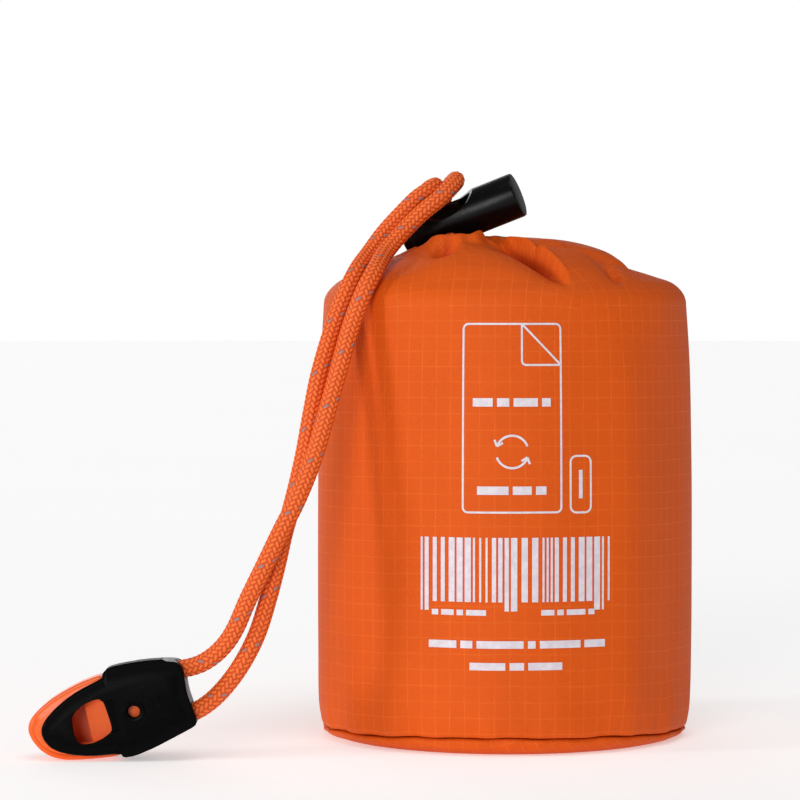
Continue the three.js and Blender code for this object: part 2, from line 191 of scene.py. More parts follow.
def place_camera():
    data = bpy.data.cameras.new("photo_camera")
    data.lens = LENS
    data.sensor_width = SENSOR_WIDTH
    data.clip_start = 0.01
    camera = bpy.data.objects.new("photo_camera", data)
    camera.location = CAMERA_PLACE
    camera.rotation_euler = (math.radians(90) - CAMERA_DROP, 0, 0)
    bpy.context.scene.collection.objects.link(camera)
    bpy.context.scene.camera = camera


place_camera()
print("camera at", [round(x, 3) for x in CAMERA_PLACE])

# %% [markdown]
# ## Shader sums as plain Python
#
# A material is a graph of nodes, and a sum in it is a Math node. Writing `a + b` is easier to read
# than wiring two sockets, so a small class wraps a socket and makes the Math node for each operator.
# Colours don't go through it, because a Math node would turn them grey: they are mixed instead.

# %% A varying value and a finish


class Varying:
    """A node's output that can take part in sums."""

    def __init__(self, finish, socket):
        self.finish, self.socket = finish, socket

    def math(self, operation, *others):
        values = {0: self, **{i + 1: other for i, other in enumerate(others)}}
        return self.finish.node("ShaderNodeMath", {"operation": operation}, values)

    def __add__(self, other):
        return self.math("ADD", other)

    __radd__ = __add__

    def __sub__(self, other):
        return self.math("SUBTRACT", other)

    def __rsub__(self, other):
        return self.finish.node("ShaderNodeMath", {"operation": "SUBTRACT"}, {0: other, 1: self})

    def __mul__(self, other):
        return self.math("MULTIPLY", other)

    __rmul__ = __mul__

    def __truediv__(self, other):
        return self.math("DIVIDE", other)

    def floor(self):
        return self.math("FLOOR")

    def fraction(self):
        return self.math("FRACT")

    def size(self):
        return self.math("ABSOLUTE")

    def wave(self):
        return self.math("SINE")

    def most(self, other):
        return self.math("MAXIMUM", other)

    def above(self, limit):
        return self.math("GREATER_THAN", limit)

    def ramp(self, low, high):
        """From 0 at low to 1 at high, eased at both ends."""
        settings = {"interpolation_type": "SMOOTHSTEP"}
        return self.finish.node("ShaderNodeMapRange", settings, {0: self, 1: low, 2: high})

    def from_line(self, pitch=1.0):
        """How far the value is from the nearest whole number, times the pitch."""
        return ((self + 0.5).fraction() - 0.5).size() * pitch


class Finish:
    """A material that is made node by node."""

    def __init__(self, name):
        self.material = bpy.data.materials.new(name)
        self.material.use_nodes = True
        self.tree = self.material.node_tree
        self.tree.nodes.clear()

    def node(self, kind, settings=None, values=None, output=0):
        made = self.tree.nodes.new(kind)
        for name, setting in (settings or {}).items():
            setattr(made, name, setting)
        for name, value in (values or {}).items():
            if isinstance(value, Varying):
                self.tree.links.new(value.socket, made.inputs[name])
            else:
                made.inputs[name].default_value = value
        return Varying(self, made.outputs[output])

    def coordinates(self, layer=None):
        """The x, y and z of Object coordinates, or of a UV map."""
        if layer is None:
            place = self.node("ShaderNodeTexCoord", output="Object")
        else:
            place = self.node("ShaderNodeUVMap", {"uv_map": layer})
        split = self.node("ShaderNodeSeparateXYZ", values={0: place})
        outputs = split.socket.node.outputs
        return place, [Varying(self, outputs[i]) for i in range(3)]

    def noise(self, place, scale, detail=2.0, roughness=0.5):
        values = {"Vector": place, "Scale": scale, "Detail": detail, "Roughness": roughness}
        return self.node("ShaderNodeTexNoise", values=values)

    def mix(self, factor, first, second):
        return self.node("ShaderNodeMix", {"data_type": "RGBA"}, {0: factor, 6: first, 7: second}, 2)

    def shade(self, colour, amount):
        """A colour times a number that varies."""
        values = {0: colour, "Scale": amount}
        return self.node("ShaderNodeVectorMath", {"operation": "SCALE"}, values)

    def bump(self, height, distance, strength=1.0):
        values = {"Height": height, "Distance": distance, "Strength": strength}
        return self.node("ShaderNodeBump", values=values)

    def surface(self, **values):
        sockets = {name.replace("_", " "): value for name, value in values.items()}
        shader = self.node("ShaderNodeBsdfPrincipled", values=sockets)
        output = self.tree.nodes.new("ShaderNodeOutputMaterial")
        self.tree.links.new(shader.socket, output.inputs["Surface"])
        return self.material


# %% [markdown]
# ## Pieces from rolled sheets
#
# Cloth and braid start flat, so both are made from a flat grid here. Its points are moved to their
# places, its two long edges meet and are merged, and each face keeps a UV map that says where it
# lies on the flat cloth, in millimetres. A weave drawn on that map bends with the folds.

# %% Make pieces


def add_piece(name, mesh, finish, slot, body="sack"):
    mesh.materials.append(finish)
    piece = bpy.data.objects.new(name, mesh)
    bpy.context.scene.collection.objects.link(piece)
    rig.ride(piece, body)
    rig.slot(piece, slot)
    return piece


def rolled_sheet(name, places, cloth_map, depth=None):
    """A grid whose point at (row, column) goes to places[row, column], in millimetres.

    The depth table says how deep in a fold each point lies, from 0 to 1.
    """
    rows, columns = places.shape[:2]
    bm = bmesh.new()
    bmesh.ops.create_grid(bm, x_segments=columns - 1, y_segments=rows - 1, size=0.5)
    mesh = bpy.data.meshes.new(name)
    bm.to_mesh(mesh)
    bm.free()

    flat = np.empty(len(mesh.vertices) * 3)
    mesh.vertices.foreach_get("co", flat)
    share = flat.reshape(-1, 3)[:, :2] + 0.5
    column = np.rint(share[:, 0] * (columns - 1)).astype(int)
    row = np.rint(share[:, 1] * (rows - 1)).astype(int)
    mesh.vertices.foreach_set("co", (places[row, column] * MM).ravel())
    if depth is not None:
        layer = mesh.attributes.new("fold depth", "FLOAT", "POINT")
        layer.data.foreach_set("value", depth[row, column])

    corner = np.empty(len(mesh.loops), int)
    mesh.loops.foreach_get("vertex_index", corner)
    face_column = np.repeat(column[corner].reshape(-1, 4).mean(axis=1), 4)
    layer = mesh.uv_layers.new(name="cloth")
    cloth = np.stack(cloth_map(row[corner], column[corner], face_column), axis=1)
    layer.data.foreach_set("uv", cloth.ravel())
    return mesh


MERGE = 1e-6


def close_up(mesh, fill_ends=False):
    """Merges the edges that meet, fills the open ends and turns the faces outwards."""
    bm = bmesh.new()
    bm.from_mesh(mesh)
    bmesh.ops.remove_doubles(bm, verts=bm.verts, dist=MERGE)
    if fill_ends:
        bmesh.ops.holes_fill(bm, edges=[e for e in bm.edges if e.is_boundary], sides=0)
    bmesh.ops.recalc_face_normals(bm, faces=bm.faces)
    for face in bm.faces:
        face.smooth = True
    bm.to_mesh(mesh)
    bm.free()
    return mesh


def ease(value, low, high):
    """From 0 at low to 1 at high, with a soft start and a soft end."""
    share = np.clip((value - low) / (high - low), 0, 1)
    return share * share * (3 - 2 * share)


def read_rows(rows, at):
    """A smooth curve through the rows of a table, as (place, value)."""
    places, values = np.array(rows, float).T
    last = len(places) - 1
    before, after = np.maximum(np.arange(last + 1) - 1, 0), np.minimum(np.arange(last + 1) + 1, last)
    slopes = (values[after] - values[before]) / (places[after] - places[before])
    at = np.clip(at, places[0], places[-1])
    i = np.clip(np.searchsorted(places, at, side="right") - 1, 0, last - 1)
    width = places[i + 1] - places[i]
    t = (at - places[i]) / width
    bend = width * (slopes[i] * t * (1 - t) ** 2 - slopes[i + 1] * t * t * (1 - t))
    return values[i] + (values[i + 1] - values[i]) * t * t * (3 - 2 * t) + bend


# %% [markdown]
# ## The drawcord
#
# Two strands leave the drawn mouth, pass up through the lock, fold over its top and lie over the
# shoulder, then fall to the whistle. Their routes are listed points, the same ones that the
# solids follow, with a smooth curve through them.
#
# A round braid has one set of yarns winding to the left and one to the right, and each passes over
# and under the other set. Real yarns could be swept one by one, but a tube whose wall rises where a
# yarn is on top gives the same outline with far fewer faces.

# %% The routes of the two strands
CORD_DIAMETER = 3.2

FRONT_STRAND = [
    (-8.6, -4.6, 89), (-9.2, -4.7, 91), (-9.8, -4.1, 92.7), (-10.7, -1.8, 96.1), (-11.5, 0.6, 99.5),
    (-11.5, 1.3, 100.7), (-10.8, 1.2, 102.2), (-10, 0.2, 103.4), (-9.2, -1.7, 104.1),
    (-9.2, -3.8, 103.7), (-10.6, -6.6, 102.1), (-12.5, -8.7, 100.2), (-15.1, -10, 98.1),
    (-18.4, -11.6, 94.9), (-21.9, -14.6, 90.8), (-24.3, -22, 86.6), (-26, -24.7, 83.3),
    (-28.3, -26.4, 77.2), (-30.5, -28.6, 69.3), (-32.7, -30.7, 61.4), (-35, -32.6, 53.4),
    (-38, -34.8, 45.9), (-40.7, -35.9, 40.6), (-43.4, -36.4, 35), (-46.7, -36.4, 28.2),
    (-49, -36.3, 23), (-50.8, -36.2, 20.3), (-53, -36.1, 18.2), (-55.4, -36, 16.8), (-58, -36, 16.1),
    (-60.9, -36, 15.4),
]
BACK_STRAND = [
    (-12, -3.9, 88.7), (-12.5, -3.9, 89.9), (-13.1, -3.4, 91.4), (-13.9, -1.1, 94.8),
    (-14.7, 1.3, 98.3), (-15.1, 1.8, 99.6), (-15.1, 1.6, 101), (-14.4, 0.5, 102.2),
    (-13.2, -1.5, 102.9), (-13, -3.5, 102.8), (-14.4, -5.4, 101.9), (-16.3, -6.6, 100.6),
    (-18.9, -8, 98), (-22.6, -10, 93.9), (-25.2, -12.6, 90.3), (-27.7, -18, 86.6), (-29.5, -20.4, 82.7),
    (-31.2, -22, 78.3), (-33.1, -24.3, 72.2), (-34.4, -26, 67.2), (-35.4, -27.5, 62),
    (-37, -29.3, 53.1), (-39, -31.2, 44.6), (-40.3, -32.2, 40), (-41.5, -33.1, 34.6),
    (-43.2, -34.1, 28), (-45, -35, 22.3), (-47.2, -35.7, 17.8), (-49.9, -36, 13.8),
    (-53.1, -36, 10.4), (-56, -36, 8.5), (-58.9, -36, 7.7),
]


EASING_PASSES = 10       # each one softens the tightest bends a little


def even_line(points, spacing):
    """Evenly spaced points on a centripetal Catmull-Rom curve through the route."""
    route = np.array(points, float)
    route = np.vstack([2 * route[0] - route[1], route, 2 * route[-1] - route[-2]])
    gaps = np.sqrt(np.linalg.norm(np.diff(route, axis=0), axis=1))
    t = np.linspace(0, 1, 24, endpoint=False)[:, None]
    fine = []
    for i in range(1, len(route) - 2):
        a, b, c, d = route[i - 1 : i + 3]
        before, here, after = gaps[i - 1 : i + 2]
        leave = here * ((b - a) / before - (c - a) / (before + here)) + (c - b)
        arrive = here * ((d - c) / after - (d - b) / (here + after)) + (c - b)
        cubic = 2 * (b - c) + leave + arrive
        square = 3 * (c - b) - 2 * leave - arrive
        fine.append(b + t * leave + t**2 * square + t**3 * cubic)
    fine = np.vstack([*fine, route[-2:-1]])
    run = np.r_[0, np.cumsum(np.linalg.norm(np.diff(fine, axis=0), axis=1))]
    steps = np.linspace(0, run[-1], round(run[-1] / spacing) + 1)
    line = np.stack([np.interp(steps, run, fine[:, k]) for k in range(3)], axis=1)
    for _ in range(EASING_PASSES):
        line[1:-1] = (line[:-2] + 2 * line[1:-1] + line[2:]) / 4
    return line, np.linalg.norm(np.diff(line, axis=0), axis=1).sum()


def steady_frames(line):
    """Two directions across the line at each point, carried along it without a twist."""
    along = np.gradient(line, axis=0)
    along /= np.linalg.norm(along, axis=1)[:, None]
    side = np.cross(along[0], (0, 0, 1.0))
    sides = []
    for direction in along:
        side = side - direction * (side @ direction)
        side = side / np.linalg.norm(side)
        sides.append(side)
    sides = np.array(sides)
    return sides, np.cross(along, sides)


# %% The braid
CARRIERS = 10           # yarns that wind each way
STITCH = 1.03           # along the cord, from one crossing to the next
BRAID_RELIEF = 0.2
CORD_COLUMNS = 80
CORD_ROW = 0.22


def braid_relief(around, along):
    """Height of the braid: each yarn passes over two of the other set, then under two."""
    left, right = around - along, around + along
    over = (np.floor(left) + np.floor(right)) % 4 < 2
    across = np.where(over, left, right) % 1 * 2 - 1
    length = np.where(over, (np.floor(left) + right) % 4 - 1, (left + np.floor(right)) % 4 - 3)
    return np.sqrt(np.clip(1 - across**2, 0, 1)) * (1 - length**4)


def make_strand(name, points, finish):
    line, length = even_line(points, CORD_ROW)
    side, up = steady_frames(line)
    turn = np.linspace(0, 1, CORD_COLUMNS + 1)[None, :, None]
    run = np.linspace(0, length, len(line))[:, None, None]
    relief = braid_relief(turn * CARRIERS, run / STITCH)
    radius = CORD_DIAMETER / 2 + BRAID_RELIEF * (relief - 0.75)
    angle = 2 * math.pi * turn
    places = line[:, None] + radius * (np.cos(angle) * side[:, None] + np.sin(angle) * up[:, None])
    places[:, -1] = places[:, 0]

    def cloth_map(row, column, face_column):
        return column / CORD_COLUMNS * CARRIERS, row / (len(line) - 1) * length / STITCH

    mesh = close_up(rolled_sheet(name, places, cloth_map), fill_ends=True)
    piece = add_piece(name, mesh, finish, "drawcord")
    print(f"{name}: {length:.1f} mm long, {len(mesh.polygons)} faces")
    return piece, line * MM, length * MM


# %% [markdown]
# ## The finish of the cord
#
# The yarns are bright orange filament. Each yarn's colour has a painted highlight along its middle
# and a painted shade where it dives under the next. One yarn of the left-winding set carries a thin
# grey tracer, which shows as a short dash wherever that yarn is on top.

# %% Braided filament
TRACER_CARRIER = 3
TRACER_WIDTH = 0.42      # of a yarn's width, to each side of its middle
# Yarn colours: a painted shade where a yarn dives under, and a painted highlight on its crest.
YARN_SHADE, YARN_PAINTED_HIGHLIGHT = (0.68, 0.076, 0.006, 1), (0.9, 0.165, 0.026, 1)
TRACER_GREY = (0.27, 0.2, 0.215, 1)


def braided_filament():
    finish = Finish("braided_filament")
    place, (around, along, _) = finish.coordinates("cloth")
    left, right = around - along, around + along
    over = 1 - (((left.floor() + right.floor()) / 4).fraction()).above(0.49)
    left_across, right_across = left.fraction() * 2 - 1, right.fraction() * 2 - 1
    left_length = ((left.floor() + right) / 4).fraction() * 4 - 1
    right_length = ((left + right.floor()) / 4).fraction() * 4 - 3
    across = over * left_across + (1 - over) * right_across
    length = over * left_length + (1 - over) * right_length
    crown = (1 - across * across).most(0).math("SQRT") * (1 - (length * length) * (length * length))

    carrier = ((left.floor() + 0.5) / CARRIERS).fraction() * CARRIERS
    chosen = 1 - (carrier - TRACER_CARRIER - 0.5).size().above(0.25)
    thin = 1 - left_across.size().ramp(TRACER_WIDTH, TRACER_WIDTH + 0.2)
    short = 1 - left_length.size().ramp(0.7, 0.9)
    tracer = chosen * over * thin * short

    fibres = (across * 16 + finish.noise(place, 1.4) * 3).wave()
    patches = finish.noise(place, 0.4, 3.0)
    # Painted highlight and shade: each yarn is made lighter along its crest and darker at its ends.
    light = 0.8 + crown * 0.16 + fibres * 0.03 + patches * 0.12
    orange = finish.mix(crown.ramp(0.35, 1), YARN_SHADE, YARN_PAINTED_HIGHLIGHT)
    colour = finish.mix(tracer, finish.shade(orange, light), TRACER_GREY)
    return finish.surface(
        Base_Color=colour,
        Roughness=0.5 - tracer * 0.14,
        Normal=finish.bump(crown + fibres * 0.06, 0.00012, 0.6),
        Specular_IOR_Level=0.3,
    )


BRAID = braided_filament()
cord_front, front_line, front_length = make_strand("drawcord_front", FRONT_STRAND, BRAID)
cord_back, back_line, back_length = make_strand("drawcord_back", BACK_STRAND, BRAID)
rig.replaces(cord_front, "cord_front")
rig.replaces(cord_back, "cord_back")

# %% [markdown]
# ## The filled sack
#
# The wall is a tube of cloth, stretched over the folded bag inside, so it has no slack of its own:
# it is a turned shape with soft swells, puckers above the seam, and a crown that is gathered into
# the mouth under the lock. A cloth simulation would wrinkle it all over at random, while the real
# one has a few plain folds, so each crease is placed one by one as a soft trough with two banks.

# %% Sizes of the sack
SACK_RADIUS = 35
RIM_HEIGHT = 81
RIM_SHARE = 0.9729
SEAM_HEIGHT, SEAM_WAVE = 2.6, 0.7
FRONT = -math.pi / 2     # the way that the printed front faces

CROWN_ROWS = [
    (0, 93.1), (8, 93.1), (13, 92.5), (18, 91.1), (22, 89.5), (26, 87.7), (30, 85.8),
    (31.6, 84.8), (32.8, 83.7), (33.6, 82.6), (33.95, 81.7), (RIM_SHARE * SACK_RADIUS, RIM_HEIGHT),
]
WALL_ROWS = [
    (0, 0.972), (3, 0.985), (6, 0.997), (14, 1), (45, 1), (60, 0.994), (70, 0.987), (76, 0.9805),
    (RIM_HEIGHT, RIM_SHARE),
]
FRONT_FULLNESS = [(0, 0), (13, 0.3), (18, 0.8), (22, 1.3), (26, 1.4), (29, 1), (31.5, 0.1), (33.9, 0)]

# Creases of the crown seen from above: name, from, to, rise, where it is deepest, then the widths of
# its left and right banks and the rise of a lip along its left bank
CROWN_FOLDS = [
    ("front right crease", (-1.5, -6.8), (13.2, -36), -5.4, 0.36, 0.6, 4.2, 1),
    ("front right ridge", (6, -9), (20, -27), 0.7, 0.5, 2, 2.5, 0),
    ("upper right crease", (0, -19.5), (27, -12), -2.3, 0.6, 2.4, 0.8, 0.5),
    ("right dip", (18, -17), (22.5, -31), -2, 0.35, 0.9, 2.4, 0.3),
    ("right shoulder", (20.5, 14), (24.5, -19), -1.7, 0.55, 7, 1.5, 0),
    ("brow crease", (-2, -12), (5, -20), -0.7, 0.4, 0.9, 1.8, 0.2),
    ("left pocket", (-10.8, -11.3), (-11.6, -21.5), -5.4, 0.34, 1.6, 1.4, 0.5),
    ("left crease", (-14, 0), (-31, -3), -1.8, 0.4, 3, 2, 0),
    ("left back crease", (-13, 6), (-27, 17), -2.6, 0.4, 2, 3.4, 0.3),
    ("back crease", (-6, 8), (-9, 31), -2.8, 0.4, 3.2, 1.6, 0.3),
    ("back right crease", (0, 7), (13, 29), -3, 0.45, 1.4, 3.6, 0.4),
    ("right back crease", (3, 3), (29, 12), -2.2, 0.5, 1.8, 3, 0.2),
]
# Soft upright swells of the wall: degrees round from the front, rise, half width in degrees
WALL_SWELLS = [
    (37, 0.85, 8.5), (60, -0.5, 10), (86, 0.25, 9), (-6, 0.16, 7), (-20, -0.26, 4.5),
    (-31, 0.22, 6), (-47, -0.25, 5), (-75, 0.2, 10), (112, 0.2, 9), (128, -0.3, 9), (160, 0.3, 10),
    (-120, -0.25, 9), (-155, 0.25, 12),
]
# The front rim of the mouth stands up against the lock: x, height
FRONT_RIM = [
    (-19, 90.3), (-17.2, 91), (-15, 92.1), (-13.6, 93.3), (-12, 93.7), (-10.4, 93.6), (-8.5, 93.9),
    (-6.8, 93.8), (-4.6, 94.5), (-3.6, 93.3), (-2.4, 92.8), (0, 92.9), (3, 93),
]
RIM_RADIUS, RIM_WIDTH = 7.4, 1.5
RIM_SIDES = (1.5, 4.5)           # how far in front of the mouth's middle the rim starts, and is whole
FULL_FACING = (0.72, 0.93)       # how squarely the crown faces front where its fullness starts
FOLDS_FADE = (28.5, 33.3)        # radii between which the folds run out in the shoulder
STRETCH_START = 22               # radius from which the crown follows the wall's uneven top
DEEPEST_FOLD = 5
SHOULDER_SLUMP, SEAM_PUCKER, STITCH_PINCH = 0.22, 0.16, 0.14
BACK_SEAM_RISE, BACK_SEAM_HALF = 0.4, 5.5      # how far it stands out, half its width in degrees
MOUTH_CENTRE, MOUTH_FLOOR = (-10.3, -4), 87.6
MOUTH_FLOOR_RADIUS, MOUTH_HEM_RADIUS = 4.1, 6.6
GATHER_COUNT, GATHER_RISE, GATHER_REACH = 13, 0.5, 13

# %% [markdown]
# ## The lock's place
#
# The barrel lies on the gathered mouth, and the cloth under it gives way. So the lock's axis is set
# before the cloth, and the crown is kept below the barrel's round underside.

# %% The lock's axis
LOCK_RADIUS = 4.25
LOCK_CENTRE = Vector((-12.3, -1.4, 95.5))
LOCK_AXIS = Vector((0.912, -0.202, 0.357)).normalized()
LOCK_UP = (Vector((0, 0, 1)) - LOCK_AXIS * LOCK_AXIS.z).normalized()
BUTTON_END = -7.15
CLEARANCE = 0.4


def under_lock(x, y):
    """The highest that the cloth may stand under the lock."""
    reach = LOCK_RADIUS + CLEARANCE
    run = math.hypot(LOCK_AXIS.x, LOCK_AXIS.y)
    dx, dy = x - LOCK_CENTRE.x, y - LOCK_CENTRE.y
    along = (dx * LOCK_AXIS.x + dy * LOCK_AXIS.y) / run
    aside = (dx * LOCK_AXIS.y - dy * LOCK_AXIS.x) / run
    past_end = np.maximum(0, (BUTTON_END - 0.8) * run - along)
    drop = np.sqrt(np.maximum(reach**2 - aside**2, 0)) / run
    limit = LOCK_CENTRE.z + along * LOCK_AXIS.z / run - drop + 1.5 * past_end
    return np.where(np.abs(aside) < reach, limit, 1000)


# %% The shape of the crown and wall


def fold_rise(fold, x, y):
    _, start, end, rise, deepest, left, right, lip = fold
    run = np.array(end, float) - start
    length = np.hypot(*run)
    run /= length
    dx, dy = x - start[0], y - start[1]
    share = (dx * run[0] + dy * run[1]) / length
    aside = dx * run[1] - dy * run[0]
    strength = ease(share, -0.15, deepest) * (1 - ease(share, deepest, 1.1))
    bank = np.where(aside > 0, right, left)
    trough = rise * np.exp(-((np.abs(aside) / bank) ** 1.4))
    crest = lip * np.exp(-(((aside + 1.5 * left) / left) ** 2))
    return strength * (trough + crest)


def crown_folds(x, y, radius):
    """The rise of all the folds together at each point."""
    folds = sum(fold_rise(fold, x, y) for fold in CROWN_FOLDS)
    return folds * (1 - ease(radius, *FOLDS_FADE))


def crown_height(x, y, stretch):
    dx, dy = x - MOUTH_CENTRE[0], y - MOUTH_CENTRE[1]
    from_mouth, turn = np.hypot(dx, dy), np.arctan2(dy, dx)
    radius = np.hypot(x, y) / stretch
    height = read_rows(CROWN_ROWS, radius)
    facing = np.maximum(-y / np.maximum(radius, 1), 0)
    height = height + read_rows(FRONT_FULLNESS, radius) * ease(facing, *FULL_FACING)
    height = height + crown_folds(x, y, radius)
    gather = 1 - ease(from_mouth, MOUTH_HEM_RADIUS, GATHER_REACH)
    height = height + GATHER_RISE * gather * np.cos(GATHER_COUNT * turn)
    rim = np.exp(-(((from_mouth - RIM_RADIUS) / RIM_WIDTH) ** 2)) * ease(-dy, *RIM_SIDES)
    height = height + (read_rows(FRONT_RIM, x) - height) * rim
    height = np.minimum(height, under_lock(x, y))
    inside = 1 - ease(from_mouth, MOUTH_FLOOR_RADIUS, MOUTH_HEM_RADIUS)
    return height + (MOUTH_FLOOR - height) * inside


def wall_radius(turn, height):
    front = np.maximum(-np.sin(turn), 0)
    near_shoulder = ease(height, 45, RIM_HEIGHT)
    near_top = ease(height, 72, RIM_HEIGHT - 1)
    near_seam = 1 - ease(height, 4, 24)
    slump = SHOULDER_SLUMP * near_shoulder * np.sin(7 * turn + 0.6) * (1 - 0.7 * front)
    pucker = SEAM_PUCKER * near_seam * np.sin(19 * turn + 1.3 * np.sin(3 * turn))
    stitched = 1 - ease(height, 2, 8)
    pinch = np.sin(47 * turn + 2 * np.sin(5 * turn)) * np.sin(3.1 * turn + 0.7)
    pinch = STITCH_PINCH * stitched * pinch
    swell = 0
    for degrees, rise, width in WALL_SWELLS:
        away = (np.degrees(turn - FRONT) - degrees + 180) % 360 - 180
        swell = swell + rise * np.exp(-((away / width) ** 2))
    tall = ease(height, 2, 14) * (1 - ease(height, 66, RIM_HEIGHT + 2))
    from_back = 180 - np.abs((np.degrees(turn - FRONT) + 180) % 360 - 180)
    wander = 0.3 * np.sin(height / 7)
    on_seam = 1 - ease(from_back + wander, BACK_SEAM_HALF - 1.2, BACK_SEAM_HALF)
    seam = BACK_SEAM_RISE * on_seam * (1 - near_top)
    return SACK_RADIUS * read_rows(WALL_ROWS, height) + slump + pucker + pinch + swell * tall + seam


def seam_height(turn):
    pulled = 0.13 * np.sin(9 * turn + 0.8) * np.sin(2 * turn + 0.4) + 0.07 * np.sin(23 * turn)
    return SEAM_HEIGHT - SEAM_WAVE * np.cos(2 * turn) + pulled


# %% The rows of the sack's grid
WALL_ROW, CROWN_ROW = 0.9, 0.34
SACK_COLUMNS = 440
FLOOR_RADII = [0, 16, 30, 32, 33.1]
SEAM_ROWS = [0.12, 0.4, 0.8, 1.3, 1.9, 2.6, 3.4]


def crown_radii():
    """Ring radii that lie evenly along the slope of the crown."""
    radius = np.linspace(CROWN_ROWS[-1][0], 0, 400)
    height = read_rows(CROWN_ROWS, radius)
    run = np.r_[0, np.cumsum(np.hypot(np.diff(radius), np.diff(height)))]
    steps = np.linspace(0, run[-1], round(run[-1] / CROWN_ROW) + 1)[1:]
    return np.interp(steps, run, radius), steps


CROWN_RINGS, CROWN_RUNS = crown_radii()
EVEN_ROWS = np.arange(SEAM_ROWS[-1] + WALL_ROW, RIM_HEIGHT - 0.3, WALL_ROW)
WALL_HEIGHTS = np.r_[SEAM_ROWS, EVEN_ROWS, RIM_HEIGHT]
SACK_TURNS = FRONT + np.linspace(-math.pi, math.pi, SACK_COLUMNS + 1)


def wall_places(turn, height):
    z = height + seam_height(turn) * (1 - height / RIM_HEIGHT)
    radius = wall_radius(turn, z) - 0.55 * np.exp(-height / 0.3)
    return np.stack([radius * np.cos(turn), radius * np.sin(turn), z], axis=-1)


def sack_places():
    """The place of each point of the sack's grid, and how deep in a fold it lies."""
    turn = SACK_TURNS[None, :]
    floor = np.array(FLOOR_RADII, float)[:, None]
    level = seam_height(turn) * ease(floor, 0, 20) + SEAM_HEIGHT * (1 - ease(floor, 0, 20))
    under = np.stack([floor * np.cos(turn), floor * np.sin(turn), level], axis=-1)

    wall = wall_places(turn, WALL_HEIGHTS[:, None])

    ring = CROWN_RINGS[:, None]
    shift = 1 - ease(ring, 2, 30)
    slump = wall_radius(turn, RIM_HEIGHT) / (SACK_RADIUS * RIM_SHARE) - 1
    stretch = 1 + slump * ease(ring, STRETCH_START, CROWN_ROWS[-1][0])
    x = ring * stretch * np.cos(turn) + MOUTH_CENTRE[0] * shift
    y = ring * stretch * np.sin(turn) + MOUTH_CENTRE[1] * shift
    crown = np.stack([x, y, crown_height(x, y, stretch)], axis=-1)
    places = np.concatenate([under, wall, crown])
    places[:, -1] = places[:, 0]
    depth = np.zeros(places.shape[:2])
    depth[-len(ring):] = np.maximum(-crown_folds(x, y, ring), 0) / DEEPEST_FOLD
    return places, depth


# %% [markdown]
# ## Where the cloth's threads lie
#
# On the wall the cloth is flat, so its threads run straight up and round. In the crown the same
# width of cloth is gathered into a small mouth, and the spare width is tucked into the creases. So
# each panel between two creases keeps its threads straight and evenly spaced, and the grid breaks
# at the crease, as it does on a real gathered sack.

# %% The panels of the crown and their threads
# The edges of the panels between creases, in degrees round from the front
PANEL_EDGES = [-180, -157, -128, -100, -72, -47, 22, 45, 66, 92, 118, 140, 162, 180]
# How far the threads of each panel lean, in degrees, where the cord or a crease pulls the cloth
PANEL_LEANS = [0, 4, -5, 3, 0, 2, 8, 0, -4, 5, 0, -3, 0]
SHOULDER_STRETCH = 0.05


def thread_map(row, column, face_column):
    """Where a corner of a face lies on the flat cloth, in millimetres."""
    first_crown = len(FLOOR_RADII) + len(WALL_HEIGHTS)
    degrees = (column / SACK_COLUMNS - 0.5) * 360
    round_wall = SACK_RADIUS * np.radians(degrees)
    rise = np.r_[np.array(FLOOR_RADII) - FLOOR_RADII[-1], WALL_HEIGHTS, RIM_HEIGHT + CROWN_RUNS]
    rise = rise + SHOULDER_STRETCH * np.maximum(rise - 66, 0)

    panel = np.searchsorted(PANEL_EDGES, (face_column / SACK_COLUMNS - 0.5) * 360, side="right") - 1
    edges = np.array(PANEL_EDGES)
    middle = (edges[panel] + edges[panel + 1]) / 2
    radius = np.r_[np.full(first_crown, CROWN_ROWS[-1][0]), CROWN_RINGS][row]
    away = np.radians(degrees - middle)
    inwards = np.maximum(row - first_crown + 1, 0) * CROWN_ROW + radius * (1 - np.cos(away))
    aside = radius * np.sin(away) * SACK_RADIUS / CROWN_ROWS[-1][0]
    lean = np.radians(np.array(PANEL_LEANS)[panel]) * ease(inwards, 0, 9)
    crown_u = SACK_RADIUS * np.radians(middle) + aside * np.cos(lean) + inwards * np.sin(lean)
    straightened = radius * (1 - np.cos(away)) * ease(inwards, 0, 14)
    crown_v = rise[row] + straightened - aside * np.sin(lean)

    in_crown = ease(row, first_crown - 6, first_crown + 4)
    return round_wall + (crown_u - round_wall) * in_crown, rise[row] + (crown_v - rise[row]) * in_crown


# %% [markdown]
# ## Ripstop
# Ripstop is a thin weave with a heavier pair of threads every three millimetres each way, which
# show as a fine light grid. Between them the surface has a close diagonal rib. All of it is drawn
# on the cloth's own map, so the grid follows the folds, and the same rule gives the bump. Cloth that
# lies deep in a fold is given a painted shade, darker and redder by the fold depth kept on the mesh,
# and the seam down the back shows two rows of stitches.

# %% Ripstop cloth
WARP_PITCH, WEFT_PITCH = 2.73, 2.98
THREAD_WIDTH = 0.12
BEAD_PITCH = 0.5
RIB_PITCH = 0.46
STITCH_LENGTH, STITCH_INSET = 2.6, 1.5
CLOTH_ORANGE, THREAD_ORANGE = (0.66, 0.089, 0.0045, 1), (0.8, 0.145, 0.017, 1)
# The fold colour is a painted shade: a darker red for cloth that lies deep in a crease.
FOLD_PAINTED_SHADE, STITCH_ORANGE = (0.42, 0.022, 0.003, 1), (0.8, 0.13, 0.012, 1)


